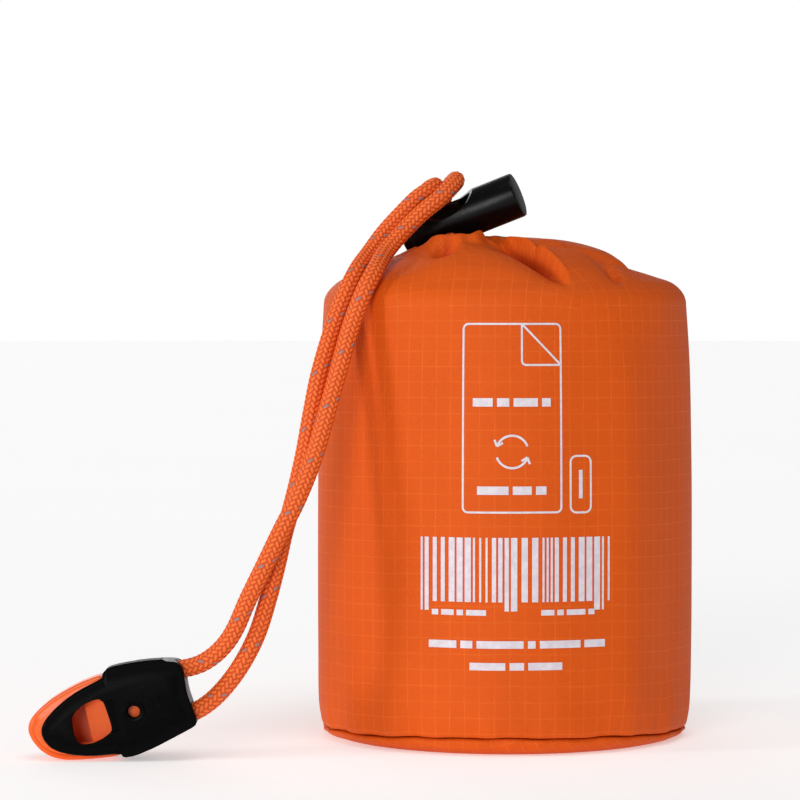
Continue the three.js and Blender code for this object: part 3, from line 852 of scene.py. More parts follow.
def ripstop():
    finish = Finish("ripstop")
    place, (across, up, _) = finish.coordinates("cloth")
    soft = (THREAD_WIDTH * 0.3, THREAD_WIDTH * 1.4)
    warp = 1 - (across / WARP_PITCH).from_line(WARP_PITCH).ramp(*soft)
    weft = 1 - (up / WEFT_PITCH - 0.3).from_line(WEFT_PITCH).ramp(*soft)
    warp_beads = (up * (2 * math.pi / BEAD_PITCH)).wave() * 0.4 + 0.6
    weft_beads = (across * (2 * math.pi / BEAD_PITCH)).wave() * 0.4 + 0.6
    cloudy = finish.noise(place, 0.07, 3.0)
    faded = finish.noise(place, 0.16, 2.0).ramp(0.3, 0.7) * 0.6 + 0.4
    grid = (warp * warp_beads).most(weft * weft_beads * 0.85) * faded
    rib = ((up - across * 0.75) * (2 * math.pi / RIB_PITCH)).wave()
    cross = ((across + up * 0.5) * (2 * math.pi / (RIB_PITCH * 0.6))).wave()
    broken = finish.noise(place, 2.6, 2.0).ramp(0.25, 0.75) * 0.6 + 0.4
    weave = (rib * 0.7 + cross * 0.3) * broken

    mottled = finish.noise(place, 1.1, 2.0)
    light = 0.92 + (cloudy - 0.5) * 0.14 + (mottled - 0.5) * 0.1 + weave * 0.11 * (1 - grid) + 0.05
    orange = finish.mix(grid, CLOTH_ORANGE, THREAD_ORANGE)
    fold = finish.node("ShaderNodeAttribute", {"attribute_name": "fold depth"}, output=2)
    # Painted shade: cloth deep in a fold is mixed toward a darker red by its fold depth.
    orange = finish.mix(fold.ramp(0.2, 1) * 0.85, orange, FOLD_PAINTED_SHADE)
    from_row = (across.size() - SACK_RADIUS * math.pi + STITCH_INSET).size()
    on_row = 1 - from_row.ramp(0.14, 0.3)
    stitch = on_row * (1 - (up / STITCH_LENGTH).from_line(STITCH_LENGTH).ramp(0.85, 1.0))
    orange = finish.mix(stitch, orange, STITCH_ORANGE)
    crinkle = finish.noise(place, 0.42, 4.0, 0.6)
    height = weave * 0.018 + grid * 0.045 + (crinkle - 0.5) * 0.14 + stitch * 0.12
    return finish.surface(
        Base_Color=finish.shade(orange, light),
        Roughness=0.56 + mottled * 0.08 - grid * 0.05,
        Normal=finish.bump(height, MM, 0.8),
        Specular_IOR_Level=0.13,
    )


RIPSTOP = ripstop()
cloth_places, cloth_depth = sack_places()
sack_mesh = close_up(rolled_sheet("sack_cloth", cloth_places, thread_map, cloth_depth))
sack = add_piece("sack_cloth", sack_mesh, RIPSTOP, "sack_cloth")
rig.replaces(sack, "sack_wall")
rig.padded(sack, fill=0.85)
print("sack:", len(sack_mesh.polygons), "faces")

# %% [markdown]
# ## The base panel
#
# The sack stands on a round panel. It is sewn to the wall with the edges turned inwards, so a dark
# groove runs round just above the surface, and the panel's edge rolls out below it like a tyre.

# %% The base panel
BASE_COLUMNS = 300
BASE_ROWS = [
    # radius, share of the seam's height
    (0, 0), (10, 0), (20, 0), (26, 0), (29, 0), (30.2, 0.004), (31, 0.03), (31.8, 0.1), (32.6, 0.22),
    (33.3, 0.38), (33.8, 0.55), (34.05, 0.7), (34.1, 0.83), (33.95, 0.94), (33.5, 1), (31.5, 1),
    (20, 1), (0, 1),
]


def base_places():
    turn = np.linspace(0, 2 * math.pi, BASE_COLUMNS + 1)[None, :]
    radius = np.array([row[0] for row in BASE_ROWS])[:, None]
    share = np.array([row[1] for row in BASE_ROWS])[:, None]
    rim = ease(radius, 30, 33.5) * (share > 0)
    ripple = 0.11 * np.sin(31 * turn + 2 * np.sin(4 * turn)) + 0.1 * np.sin(13 * turn + 1)
    reach = radius + rim * ripple * (share < 0.95)
    top = seam_height(turn) - 0.16
    places = np.stack([reach * np.cos(turn), reach * np.sin(turn), top * share], axis=-1)
    places[:, -1] = places[:, 0]
    return places


def base_map(row, column, face_column):
    turn = 2 * math.pi * column / BASE_COLUMNS
    radius = np.array([r + 2.5 * s for r, s in BASE_ROWS])[row]
    return radius * np.cos(turn + 0.25), radius * np.sin(turn + 0.25)


base_mesh = close_up(rolled_sheet("base_panel", base_places(), base_map))
base = add_piece("base_panel", base_mesh, RIPSTOP, "sack_cloth")
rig.replaces(base, "sack_base")
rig.padded(base, fill=0.8)
print("base:", len(base_mesh.polygons), "faces")

# %% [markdown]
# ## The print
#
# The front carries a white screen print. Here it is a set of plain marks of that kind: a frame with
# a turned corner, a loop of two arrows, an outline of a tab, a block of bars and a few short rules.
# Ink is a thin skin on the cloth, so each mark is a flat strip that is wrapped onto the wall's own
# shape and lifted off it by a few hundredths of a millimetre.

# %% Strips and blocks of ink
INK_LIFT, INK_THICKNESS = 0.045, 0.03
LINE_WIDTH = 0.36
MARK_STEP = 0.7          # longest edge of a mark, so that it bends with the wall


def stroke(bm, points, width, closed=False):
    """A strip of one width along flat points, with mitred corners."""
    path = [Vector(point) for point in points]
    count = len(path)
    rows = []
    for i, point in enumerate(path):
        before = path[i - 1] if i > 0 or closed else None
        after = path[(i + 1) % count] if i < count - 1 or closed else None
        arrive = (point - before).normalized() if before is not None else (after - point).normalized()
        leave = (after - point).normalized() if after is not None else arrive
        half = (arrive + leave).normalized()
        side = Vector((-half.y, half.x)) * (width / 2 / max(half.dot(arrive), 0.3))
        rows.append([bm.verts.new((*(point + side), 0)), bm.verts.new((*(point - side), 0))])
    for i in range(count if closed else count - 1):
        first, second = rows[i], rows[(i + 1) % count]
        bm.faces.new((first[0], first[1], second[1], second[0]))


def block(bm, left, right, low, high):
    middle = (low + high) / 2
    stroke(bm, [(left, middle), (right, middle)], high - low)


def rounded_box(left, right, low, high, radius, steps=5):
    points = []
    corners = [(right, high, 0), (left, high, 90), (left, low, 180), (right, low, 270)]
    for x, y, start in corners:
        centre = Vector((x + (radius if x == left else -radius), y + (radius if y == low else -radius)))
        for k in range(steps + 1):
            angle = math.radians(start + 90 * k / steps)
            points.append(centre + radius * Vector((math.cos(angle), math.sin(angle))))
    return points


def arrow_arc(bm, centre, radius, start, sweep, width):
    """An arc of a loop with a small open arrow head at its end."""
    angles = [math.radians(start + sweep * k / 14) for k in range(15)]
    arc = [(centre[0] + radius * math.cos(a), centre[1] + radius * math.sin(a)) for a in angles]
    stroke(bm, arc, width)
    tip, heading = Vector(arc[-1]), angles[-1] + math.copysign(math.pi / 2, sweep)
    for turn in (2.45, -2.45):
        barb = tip + 1.25 * Vector((math.cos(heading + turn), math.sin(heading + turn)))
        stroke(bm, [barb, tip], width)


# %% The marks of the print
FRAME_LEFT, FRAME_RIGHT, FRAME_LOW, FRAME_TOP = -8.5, 9.25, 43.8, 77.35
CORNER_LEFT, CORNER_LOW = 2.1, 70.05
BAR_LOW, BAR_TOP = 27.8, 39.3
BARS_LEFT, BARS_RIGHT = -16.4, 19.3
BAR_MODULE = 0.376


def draw_frame(bm):
    stroke(bm, rounded_box(FRAME_LEFT, FRAME_RIGHT, FRAME_LOW, FRAME_TOP, 0.9), LINE_WIDTH, closed=True)
    fold = [(CORNER_LEFT, FRAME_TOP), (CORNER_LEFT, CORNER_LOW + 0.7)]
    fold += [(CORNER_LEFT + 0.2, CORNER_LOW + 0.2), (CORNER_LEFT + 0.7, CORNER_LOW)]
    fold += [(FRAME_RIGHT, CORNER_LOW)]
    stroke(bm, fold, LINE_WIDTH)
    stroke(bm, [(CORNER_LEFT, FRAME_TOP), (FRAME_RIGHT, CORNER_LOW)], LINE_WIDTH)


def draw_rules(bm, centre, height, lengths, thickness, gap=0.75):
    """A row of short plain rules, where a line of small print would be."""
    x = centre - (sum(lengths) + gap * (len(lengths) - 1)) / 2
    for length in lengths:
        block(bm, x, x + length, height - thickness / 2, height + thickness / 2)
        x += length + gap


def draw_bars(bm):
    """Plain bars: each one is 1 to 3 modules wide and the gaps 1 to 2, by a simple rule."""
    x, k = BARS_LEFT, 0
    while x < BARS_RIGHT - BAR_MODULE:
        width = BAR_MODULE * (1 + (k * k + k // 3) % 3)
        end = min(x + width, BARS_RIGHT)
        low = BAR_LOW - (1.6 if k % 12 in (0, 1) else 0)
        block(bm, x, end, low, BAR_TOP)
        x, k = end + BAR_MODULE * (1 + (k * 5 // 3) % 2), k + 1
    return k


def draw_print(bm):
    draw_frame(bm)
    draw_rules(bm, 0.3, 63.4, (3.6, 2.2, 4.4, 1.6), 1.5)
    draw_rules(bm, 0.3, 47.7, (5.6, 3.4, 1.9), 1.5)
    for start in (20, 200):
        arrow_arc(bm, (0.35, 54.6), 2.9, start, 140, 0.4)
    stroke(bm, rounded_box(11, 14.9, 43.7, 53.8, 1.1), LINE_WIDTH, closed=True)
    block(bm, 12.6, 13.3, 46.2, 51.3)
    bars = draw_bars(bm)
    draw_rules(bm, -9.3, 25.9, (1.2, 2.4, 1.2, 3.6), 1.0, 0.55)
    draw_rules(bm, 10.6, 25.9, (2.4, 1.2, 3.6, 1.2), 1.0, 0.55)
    draw_rules(bm, 1.4, 20.2, (5.2, 2.2, 8.4, 1.4, 7.6, 4), 1.35)
    draw_rules(bm, 1.1, 16.3, (6.4, 2.6, 6.2), 1.35)
    return bars


def split_long_edges(bm, limit):
    """Halves every edge that is longer than the limit, until none is."""
    for _ in range(6):
        long_edges = [edge for edge in bm.edges if edge.calc_length() > limit]
        if not long_edges:
            return
        bmesh.ops.subdivide_edges(bm, edges=long_edges, cuts=1, use_grid_fill=True)
        bmesh.ops.triangulate(bm, faces=[face for face in bm.faces if len(face.verts) > 4])


def wrap_on_wall(bm):
    """Moves flat marks onto the wall: x runs round it from the middle of the front, y is height."""
    flat = np.array([vert.co[:] for vert in bm.verts])
    turn = FRONT + flat[:, 0] / SACK_RADIUS
    seam = seam_height(turn)
    height = (flat[:, 1] - seam) / (1 - seam / RIM_HEIGHT)
    places = wall_places(turn, height)
    out = np.stack([np.cos(turn), np.sin(turn), 0 * turn], axis=1)
    for vert, place in zip(bm.verts, (places + INK_LIFT * out) * MM):
        vert.co = place


INK_THIN, INK_FULL = (0.60, 0.545, 0.60, 1), (0.70, 0.655, 0.70, 1)


def ink():
    finish = Finish("white_ink")
    place, _ = finish.coordinates()
    worn = finish.noise(place, 900, 3.0)
    thread = finish.noise(place, 3500, 1.0)
    colour = finish.mix(worn.ramp(0.3, 0.75), INK_THIN, INK_FULL)
    return finish.surface(Base_Color=colour, Roughness=0.6, Normal=finish.bump(thread, 0.00002, 0.6))


def make_print():
    bm = bmesh.new()
    bars = draw_print(bm)
    split_long_edges(bm, MARK_STEP)
    wrap_on_wall(bm)
    mesh = bpy.data.meshes.new("front_print")
    bm.to_mesh(mesh)
    bm.free()
    piece = add_piece("front_print", mesh, ink(), "sack_cloth")
    skin = piece.modifiers.new("ink thickness", "SOLIDIFY")
    skin.thickness = INK_THICKNESS * MM
    skin.offset = 0
    print("print:", bars, "bars,", len(mesh.polygons), "faces")


make_print()

# %% [markdown]
# ## Moulded plastic
#
# The lock and the whistle are injection moulded. Such plastic is one plain colour with a fine
# grained skin, and what makes it look real is that the gloss is uneven: smooth where fingers rub,
# and dusty in the grain.

# %% Plastics


def moulded(name, colour, roughness, grain, specular):
    finish = Finish(name)
    place, _ = finish.coordinates()
    fine = finish.noise(place, 5000, 1.5)
    rubbed = finish.noise(place, 260, 3.0)
    dust = finish.noise(place, 2600, 3.0).ramp(0.6, 0.76)
    pale = tuple(min(1, c * 1.2 + 0.0025) for c in colour)
    return finish.surface(
        Base_Color=finish.mix(dust, (*colour, 1), (*pale, 1)),
        Roughness=roughness + (rubbed - 0.5) * 0.2,
        Normal=finish.bump(fine, 0.00004, grain),
        Specular_IOR_Level=specular,
    )


LOCK_PLASTIC = moulded("lock_plastic", (0.0012, 0.0012, 0.0013), 0.27, 0.4, 0.14)
GRIP_PLASTIC = moulded("grip_plastic", (0.0011, 0.0011, 0.0011), 0.3, 0.5, 0.03)
WHISTLE_PLASTIC = moulded("whistle_plastic", (0.84, 0.115, 0.012), 0.32, 0.15, 0.3)

# %% [markdown]
# ## The cord lock
#
# A barrel lock is a tube with a closed end, and a sprung button in its open end. One slot goes
# through both, and the spring pinches the cords in it. A saddle is scooped out round the slot's
# mouth for the finger. The barrel is turned by a spin of its profile, and the scoop and the slot
# are cut from it, with a small bevel on the edges that the cuts leave.

# %% Tools for turned and cut plastic


def spun(rows, sides, name):
    """A closed shape turned about +Z from (radius, distance along the axis) rows, in millimetres."""
    bm = bmesh.new()
    verts = [bm.verts.new((radius, 0, along)) for radius, along in rows]
    edges = [bm.edges.new(pair) for pair in zip(verts, verts[1:])]
    bmesh.ops.spin(
        bm, geom=verts + edges, cent=(0, 0, 0), axis=(0, 0, 1), dvec=(0, 0, 0),
        angle=2 * math.pi, steps=sides, use_merge=True, use_duplicate=False,
    )
    bmesh.ops.remove_doubles(bm, verts=bm.verts, dist=1e-4)
    bmesh.ops.recalc_face_normals(bm, faces=bm.faces)
    mesh = bpy.data.meshes.new(name)
    bm.to_mesh(mesh)
    bm.free()
    return mesh


def prism(points, depth, name, rise=0.0):
    """A flat outline extruded by its depth, centred on z = rise."""
    bm = bmesh.new()
    face = bm.faces.new([bm.verts.new((*point, rise - depth / 2)) for point in points])
    made = bmesh.ops.extrude_face_region(bm, geom=[face])
    top = [item for item in made["geom"] if isinstance(item, bmesh.types.BMVert)]
    bmesh.ops.translate(bm, verts=top, vec=(0, 0, depth))
    bmesh.ops.recalc_face_normals(bm, faces=bm.faces)
    mesh = bpy.data.meshes.new(name)
    bm.to_mesh(mesh)
    bm.free()
    return mesh


def combined(mesh, other, operation="DIFFERENCE"):
    """The mesh with the other cut out of it or joined to it."""
    work = bpy.data.objects.new("work", mesh)
    tool = bpy.data.objects.new("tool", other)
    bpy.context.scene.collection.objects.link(work)
    bpy.context.scene.collection.objects.link(tool)
    cut = work.modifiers.new("cut", "BOOLEAN")
    cut.operation, cut.object, cut.solver = operation, tool, "EXACT"
    graph = bpy.context.evaluated_depsgraph_get()
    result = bpy.data.meshes.new_from_object(work.evaluated_get(graph))
    result.name = mesh.name
    bpy.data.objects.remove(work)
    bpy.data.objects.remove(tool)
    return result


def soften(piece, width, segments=2, angle=30):
    """Rounds the sharp edges, and shades the rest smooth."""
    for face in piece.data.polygons:
        face.use_smooth = True
    bevel = piece.modifiers.new("moulded edges", "BEVEL")
    bevel.width, bevel.segments = width * MM, segments
    bevel.limit_method, bevel.angle_limit = "ANGLE", math.radians(angle)
    bevel.harden_normals = True
    return piece


def shade_by_angle(piece, degrees):
    """Shades the soft turns smooth and keeps the sharp ones."""
    for face in piece.data.polygons:
        face.use_smooth = True
    piece.data.set_sharp_from_angle(angle=math.radians(degrees))
    return piece


def placed(mesh, matrix):
    """Scales a mesh made in millimetres to metres and moves it to its place."""
    mesh.transform(matrix @ Matrix.Scale(MM, 4))
    return mesh


# %% The barrel and the button
SLOT_LEAN, SADDLE_LEAN = math.radians(-30), math.radians(24)
LOCK_CLOSED_END, LOCK_OPEN_END = 16.25, -5.2
LOCK_BORE_RADIUS, LOCK_END_WALL = 3.65, 1.6
BUTTON_RADIUS, BUTTON_INNER_END, PRESS_TRAVEL = 3.35, 5.5, 1.5
SLOT_WIDTH, STRAND_OFFSET = 4.1, 1.8
SADDLE_CENTRE, SADDLE_RADIUS, SADDLE_FLOOR = 2.75, 9.2, 2.1
SLOT_REACH = STRAND_OFFSET + CORD_DIAMETER / 2 + 0.3
LOCK_SIDES = 96


def axes(x, y, z, centre):
    """The matrix of a frame whose axes are these directions, placed at a point in millimetres."""
    matrix = Matrix((x, y, z)).transposed().to_4x4()
    matrix.translation = Vector(centre) * MM
    return matrix


LOCK_FRAME = axes(LOCK_UP, LOCK_AXIS.cross(LOCK_UP), LOCK_AXIS, LOCK_CENTRE)


# Turns an outline's depth to run across the lock, and its second axis along it
ALONG_LOCK = Matrix(((0, 0, 1, 0), (1, 0, 0, 0), (0, 1, 0, 0), (0, 0, 0, 1)))
# Stands a flat outline on its edge, so that its height becomes the depth of a cut
ON_EDGE = Matrix(((1, 0, 0, 0), (0, 0, -1, 0), (0, 1, 0, 0), (0, 0, 0, 1)))


def slot_cutter(start, end):
    """The cord slot, in the lock's frame: it runs along z and is cut through along its lean."""
    half = SLOT_WIDTH / 2
    outline = []
    for k in range(25):
        angle = math.pi * k / 12
        shift = (end - half) if k <= 12 else (start + half)
        outline.append((half * math.cos(angle), shift + half * math.sin(angle)))
    mesh = prism(outline, 6 * LOCK_RADIUS, "slot")
    mesh.transform(Matrix.Rotation(SLOT_LEAN, 4, "Z") @ ALONG_LOCK)
    return mesh


def saddle_cutter():
    """A drum across the barrel, whose underside scoops the saddle."""
    rows = [(0, -3 * LOCK_RADIUS), (SADDLE_RADIUS, -3 * LOCK_RADIUS)]
    rows += [(SADDLE_RADIUS, 3 * LOCK_RADIUS), (0, 3 * LOCK_RADIUS)]
    mesh = spun(rows, 144, "saddle")
    lay = Matrix.Translation((SADDLE_FLOOR + SADDLE_RADIUS, 0, SADDLE_CENTRE))
    lay = lay @ Matrix.Rotation(math.pi / 2, 4, "X")
    mesh.transform(Matrix.Rotation(SADDLE_LEAN, 4, "Z") @ lay)
    return mesh


def make_barrel():
    crown = 0.45
    rows = [
        (0, LOCK_CLOSED_END), (LOCK_RADIUS - crown, LOCK_CLOSED_END),
        (LOCK_RADIUS - 0.12, LOCK_CLOSED_END - 0.12), (LOCK_RADIUS, LOCK_CLOSED_END - crown),
        (LOCK_RADIUS, LOCK_OPEN_END + 0.3), (LOCK_RADIUS - 0.1, LOCK_OPEN_END + 0.08),
        (LOCK_RADIUS - 0.3, LOCK_OPEN_END), (LOCK_BORE_RADIUS, LOCK_OPEN_END),
        (LOCK_BORE_RADIUS, LOCK_CLOSED_END - LOCK_END_WALL), (0, LOCK_CLOSED_END - LOCK_END_WALL),
    ]
    mesh = combined(spun(rows, LOCK_SIDES, "lock_barrel_shell"), saddle_cutter())
    mesh = combined(mesh, slot_cutter(-SLOT_REACH, SLOT_REACH))
    piece = add_piece("lock_barrel_shell", placed(mesh, LOCK_FRAME), LOCK_PLASTIC, "lock_plastic")
    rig.replaces(piece, "lock_barrel")
    return soften(piece, 0.14)


def make_button():
    rows = [
        (0, BUTTON_END), (BUTTON_RADIUS - 0.9, BUTTON_END + 0.03),
        (BUTTON_RADIUS - 0.3, BUTTON_END + 0.22), (BUTTON_RADIUS, BUTTON_END + 0.7),
        (BUTTON_RADIUS, BUTTON_INNER_END), (0, BUTTON_INNER_END),
    ]
    slot = slot_cutter(-SLOT_REACH - PRESS_TRAVEL, SLOT_REACH)
    mesh = placed(combined(spun(rows, LOCK_SIDES, "lock_button_cap"), slot), LOCK_FRAME)
    piece = add_piece("lock_button_cap", mesh, LOCK_PLASTIC, "lock_plastic", "button")
    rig.replaces(piece, "lock_button")
    return soften(piece, 0.12)


barrel, button = make_barrel(), make_button()
print("barrel:", len(barrel.data.polygons), "button:", len(button.data.polygons), "faces")

# %% [markdown]
# ## The whistle
#
# The whistle closes the cord: both strands are held in a black grip sleeve, and an orange body with
# the air slot is pushed into it. Both are flat mouldings, so each starts as its outline, extruded,
# with its broad faces drawn in to give the wide soft bevels, and then the window, the sloping floor
# of the air slot, the lanyard hole and the cord holes are cut.

# %% The whistle's outlines
WHISTLE_TIP = Vector((-85.6, -36, 5.72))
WHISTLE_TILT = math.radians(13)
BODY_THICKNESS, SLEEVE_THICKNESS = 6.8, 9.4

BODY_OUTLINE = [
    (24, -5.6), (24, 3.6), (15.4, 5.2), (15, 6.4), (10.6, 5.8), (5.6, 4.3), (3, 3), (1.3, 1.9),
    (0.3, 0.7), (-0.1, -0.7), (0.3, -2.5), (1.3, -4.4), (2.8, -5.9), (4.9, -6.95), (7.4, -7.5),
    (10.6, -8), (15, -8.5), (15.4, -7.3),
]
SLEEVE_OUTLINE = [
    (15.2, 6.6), (16.2, 7.1), (18.3, 7.15), (22.5, 6.9), (26.6, 6.25), (28.4, 5.7), (29.2, 4.8),
    (29.3, 3), (29.05, 0), (29.4, -3.2), (29.7, -5.4), (29.1, -6.2), (26.2, -7), (21.3, -8.3),
    (17.6, -8.95), (15.6, -8.8), (15.2, -8.1), (9.9, -7.35), (6.6, -6.3), (4.6, -5.35),
    (3.2, -4.2), (2.4, -2.7), (2.2, -1.4), (2.5, -0.2), (3.5, 1.05), (5.4, 2.45), (7.8, 3.75),
    (10.4, 4.8), (15.1, 6),
]
WINDOW_OUTLINE = [
    (8.2, 0.1), (9.3, 1.3), (10.9, 2.1), (12.6, 2.5), (13.9, 2.45), (14.35, 1.6), (14.6, -0.6),
    (14.75, -2.7), (14.6, -3.7), (13, -4.5), (11.2, -4.95), (9.4, -4.9), (8.35, -4.3), (8.0, -2.4),
]
RAMP_START = 10.7
WHISTLE_FRAME = (
    Matrix.Translation(WHISTLE_TIP * MM)
    @ Matrix.Rotation(-WHISTLE_TILT, 4, "Y")
    @ Matrix.Rotation(math.pi / 2, 4, "X")
)


def rounded(points, times=2):
    """Cuts the corners of a closed outline again and again, which rounds it."""
    for _ in range(times):
        cut = []
        for a, b in zip(points, points[1:] + points[:1]):
            cut.append((0.8 * a[0] + 0.2 * b[0], 0.8 * a[1] + 0.2 * b[1]))
            cut.append((0.2 * a[0] + 0.8 * b[0], 0.2 * a[1] + 0.8 * b[1]))
        points = cut
    return points


SPINE = (Vector((6.5, -1.3)), Vector((25, -0.9)))


def drawn_in(point, by):
    """Moves a point of an outline towards the spine of the moulding."""
    start, run = SPINE[0], SPINE[1] - SPINE[0]
    share = min(max((Vector(point) - start).dot(run) / run.length_squared, 0), 1)
    return Vector(point) + (start + run * share - Vector(point)).normalized() * by


def moulding(points, thickness, edge, name, ledge=None):
    """A flat moulding with soft edges.

    The edge table runs from the side to the broad face, as (how far in, how far down, how much of
    the ledge). The ledge says how far in a point of the outline goes for all of it.
    """
    depths = [ledge(point) for point in points] if ledge else [0] * len(points)
    levels = [(inset, down - thickness / 2, share) for inset, down, share in reversed(edge)]
    levels += [(inset, thickness / 2 - down, share) for inset, down, share in edge]
    bm = bmesh.new()
    face = bm.faces.new([bm.verts.new((*point, 0)) for point in points])
    for i, (inset, rise, share) in enumerate(levels):
        if i > 0:
            made = bmesh.ops.extrude_face_region(bm, geom=[face])
            face = next(item for item in made["geom"] if isinstance(item, bmesh.types.BMFace))
        for vert, point, depth in zip(face.verts, points, depths):
            vert.co = (*drawn_in(point, inset + share * depth), rise)
    bmesh.ops.recalc_face_normals(bm, faces=bm.faces)
    mesh = bpy.data.meshes.new(name)
    bm.to_mesh(mesh)
    bm.free()
    return mesh


# %% The whistle's body


def ramp_cutter():
    """The air slot in the front face: deep at the tip side, then a slope up to the cord side."""
    face = BODY_THICKNESS / 2
    side = [
        (7.6, face + 2), (7.6, -2.5), (RAMP_START, -2.5), (RAMP_START, 1.7), (15.2, face - 0.5),
        (15.2, face + 2),
    ]
    mesh = prism(side, 7.3, "air slot")
    mesh.transform(Matrix.Translation((0, -1.25, 0)) @ ON_EDGE)
    return mesh


# how far in, how far down from the broad face, share of the ledge
BODY_EDGE = [
    (0, 1.6, 0), (0.06, 1.38, 0), (0.2, 1.25, 0), (0.25, 1.22, 0.85), (0.3, 0.8, 0.95), (0.4, 0.42, 1),
    (0.62, 0.14, 1), (1, 0, 1),
]
LEDGE_WIDTH = 0.8


def body_ledge(point):
    """The ledge runs round the tip and the underside, and stops short on the upper side."""
    return LEDGE_WIDTH * float(1 - ease(point[1], 1.5, 2.2))


def make_whistle_body():
    mesh = moulding(rounded(BODY_OUTLINE), BODY_THICKNESS, BODY_EDGE, "whistle_shell", body_ledge)
    mesh = combined(mesh, ramp_cutter())
    piece = add_piece("whistle_shell", placed(mesh, WHISTLE_FRAME), WHISTLE_PLASTIC, "whistle_plastic")
    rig.replaces(piece, "whistle_body")
    return shade_by_angle(piece, 32)


# %% The grip sleeve
SPY_HOLE = (19.3, -1.1)
CORD_HOLES = [(29.3, 3.9), (29.5, -4)]
CORD_HOLE_RADIUS, CORD_HOLE_DEPTH = 1.95, 3.6
SEAT_GAP = 0.3


def round_cutter(radius, length, matrix):
    mesh = spun([(0, -length), (radius, -length), (radius, length), (0, length)], 40, "round hole")
    mesh.transform(matrix)
    return mesh


def grown(points, by):
    """The outline moved outwards all round."""
    count = len(points)
    moved = []
    area = sum(a[0] * b[1] - b[0] * a[1] for a, b in zip(points, points[1:] + points[:1]))
    outwards = 1 if area > 0 else -1
    for i, (x, y) in enumerate(points):
        before = (Vector((x, y)) - Vector(points[i - 1])).normalized()
        after = (Vector(points[(i + 1) % count]) - Vector((x, y))).normalized()
        normal = Vector((before.y + after.y, -before.x - after.x)) * outwards
        moved.append(tuple(Vector((x, y)) + normal * by / (1 + before.dot(after))))
    return moved


def ledge_cutter():
    """The short slope that leads from the broad face down to the window's cord side."""
    face = SLEEVE_THICKNESS / 2
    side = [(14, face - 0.9), (14.9, face - 0.86), (16.7, face + 0.03), (16.7, face + 1)]
    side += [(14, face + 1)]
    mesh = prism(side, 5.8, "ledge")
    mesh.transform(Matrix.Translation((0, -1.0, 0)) @ ON_EDGE)
    return mesh


SLEEVE_EDGE = [(0, 1.3, 0), (0.25, 0.75, 0), (0.7, 0.36, 0), (1.3, 0.14, 0), (2.2, 0, 0)]
SPY_HOLE_RADIUS = 1.05
RIBS = [(22.3, 1.5), (23.6, 1.9), (24.9, 2.3)]     # place along the sleeve, half length
RIB_WIDTH, RELIEF = 0.5, 0.14


def raised_marks():
    """A ring round the hole and three short ribs for the thumb, low on the broad face."""
    rise = SLEEVE_THICKNESS / 2 - 0.3
    rows = [(SPY_HOLE_RADIUS, rise), (1.95, rise), (1.95, rise + 0.3), (1.8, rise + 0.3 + RELIEF)]
    rows += [(1.3, rise + 0.3 + RELIEF), (SPY_HOLE_RADIUS, rise + 0.3), (SPY_HOLE_RADIUS, rise)]
    ring = spun(rows, 40, "ring")
    ring.transform(Matrix.Translation((*SPY_HOLE, 0)))
    yield ring
    for x, half in RIBS:
        outline = rounded_box(x, x + RIB_WIDTH, SPY_HOLE[1] - half, SPY_HOLE[1] + half, 0.2)
        yield prism(outline, 0.6 + RELIEF, "rib", rise + 0.3 - (0.6 - RELIEF) / 2)


def make_sleeve():
    mesh = moulding(rounded(SLEEVE_OUTLINE, 1), SLEEVE_THICKNESS, SLEEVE_EDGE, "grip_sleeve")
    seat = grown(rounded(BODY_OUTLINE), SEAT_GAP)
    mesh = combined(mesh, prism(seat, BODY_THICKNESS + 2 * SEAT_GAP, "seat"))
    mesh = combined(mesh, ledge_cutter())
    mesh = combined(mesh, prism(rounded(WINDOW_OUTLINE), 2 * SLEEVE_THICKNESS, "window"))
    hole = round_cutter(SPY_HOLE_RADIUS, SLEEVE_THICKNESS, Matrix.Translation((*SPY_HOLE, 0)))
    mesh = combined(mesh, hole)
    for mark in raised_marks():
        mesh = combined(mesh, mark, "UNION")
    for x, y in CORD_HOLES:
        lay = Matrix.Translation((x, y, 0)) @ Matrix.Rotation(math.pi / 2, 4, "Y")
        mesh = combined(mesh, round_cutter(CORD_HOLE_RADIUS, CORD_HOLE_DEPTH, lay))
    piece = add_piece("grip_sleeve", placed(mesh, WHISTLE_FRAME), GRIP_PLASTIC, "grip_plastic")
    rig.replaces(piece, "whistle_sleeve")
    return soften(piece, 0.2, 3, 40)


whistle, sleeve = make_whistle_body(), make_sleeve()
print("whistle:", len(whistle.data.polygons), "sleeve:", len(sleeve.data.polygons), "faces")

# The whistle and its sleeve are the pieces on it.

# %% The cords' facts
for strand, line, length in (
    (cord_front, front_line, front_length),
    (cord_back, back_line, back_length),
):
    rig.cord(
        strand, exit=line[0], length=length, diameter=CORD_DIAMETER * MM, far_end="tool",
        stiffness="limp", lay="hanging", path=line, with_pieces=[whistle, sleeve],
    )

# %% [markdown]
# ## Floor and light
#
# The studio light is a broad soft source from the front, one from the left that draws the shadow of
# the cords on the wall, a weak one from above and a weaker one from behind, and an even pale
# surrounding. Sun lamps with a wide angle stand for the soft boxes, because they light the floor
# evenly too. The floor glows a little, so that it stays as pale as the wall behind it.

# %% Floor and lights
FLOOR_GLOW = 0.4
FLOOR_RADIUS = 6


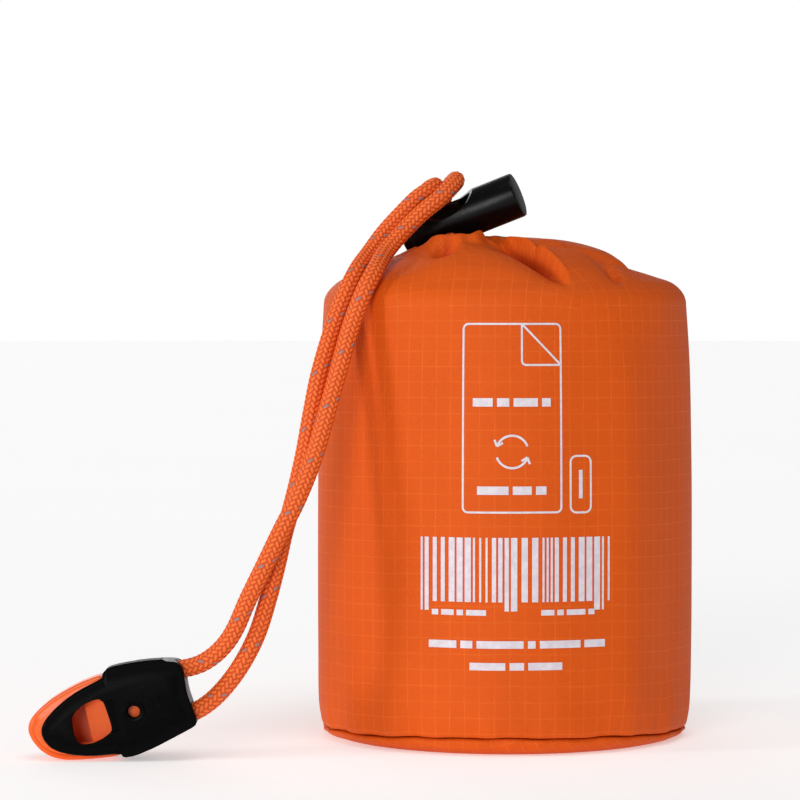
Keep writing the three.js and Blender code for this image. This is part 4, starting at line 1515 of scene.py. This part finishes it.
def add_floor():
    bm = bmesh.new()
    bmesh.ops.create_circle(bm, cap_ends=True, radius=FLOOR_RADIUS, segments=96)
    mesh = bpy.data.meshes.new("floor")
    bm.to_mesh(mesh)
    bm.free()
    finish = Finish("pale_floor")
    place, _ = finish.coordinates()
    colour = finish.mix(finish.noise(place, 3, 2.0), (0.8, 0.8, 0.8, 1), (0.83, 0.83, 0.83, 1))
    values = {"Base_Color": colour, "Roughness": 0.9, "Specular_IOR_Level": 0.1}
    values.update({"Emission_Color": (1, 1, 1, 1), "Emission_Strength": FLOOR_GLOW})
    mesh.materials.append(finish.surface(**values))
    floor = bpy.data.objects.new("floor", mesh)
    bpy.context.scene.collection.objects.link(floor)
    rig.stage(floor)


def add_sun(name, towards, strength, angle):
    """A soft lamp that shines from the direction in which towards points, seen from the object."""
    data = bpy.data.lights.new(name, "SUN")
    data.energy = strength
    data.angle = math.radians(angle)
    lamp = bpy.data.objects.new(name, data)
    lamp.rotation_euler = Vector(towards).to_track_quat("Z", "Y").to_euler()
    bpy.context.scene.collection.objects.link(lamp)


def add_surroundings(light, backdrop):
    """One even brightness lights the scene, and another is what the camera sees behind it."""
    world = bpy.data.worlds.new("pale studio")
    world.use_nodes = True
    tree = world.node_tree
    background, output = tree.nodes["Background"], tree.nodes["World Output"]
    background.inputs["Color"].default_value = (1, 1, 1, 1)
    background.inputs["Strength"].default_value = light
    seen = tree.nodes.new("ShaderNodeBackground")
    seen.inputs["Color"].default_value = (1, 1, 1, 1)
    seen.inputs["Strength"].default_value = backdrop
    path, choice = tree.nodes.new("ShaderNodeLightPath"), tree.nodes.new("ShaderNodeMixShader")
    tree.links.new(path.outputs["Is Camera Ray"], choice.inputs[0])
    tree.links.new(background.outputs[0], choice.inputs[1])
    tree.links.new(seen.outputs[0], choice.inputs[2])
    tree.links.new(choice.outputs[0], output.inputs["Surface"])
    bpy.context.scene.world = world


add_floor()
add_sun("left_light", (-0.95, -0.28, 0.2), 1.0, 12)
add_sun("front_light", (-0.3, -0.94, 0.16), 1.42, 26)
add_sun("top_light", (0.15, -0.35, 1), 0.8, 40)
add_sun("back_light", (-0.25, 0.92, 0.28), 0.5, 40)
add_surroundings(0.24, 1.0)
bpy.context.scene.view_settings.view_transform = "Standard"

# %% Finish
visual_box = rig.bounds()
with open("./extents.json", "w") as sizes:
    boxes = {"cad": [list(corner) for corner in cad_box], "visual": [list(corner) for corner in visual_box]}
    json.dump(boxes, sizes)
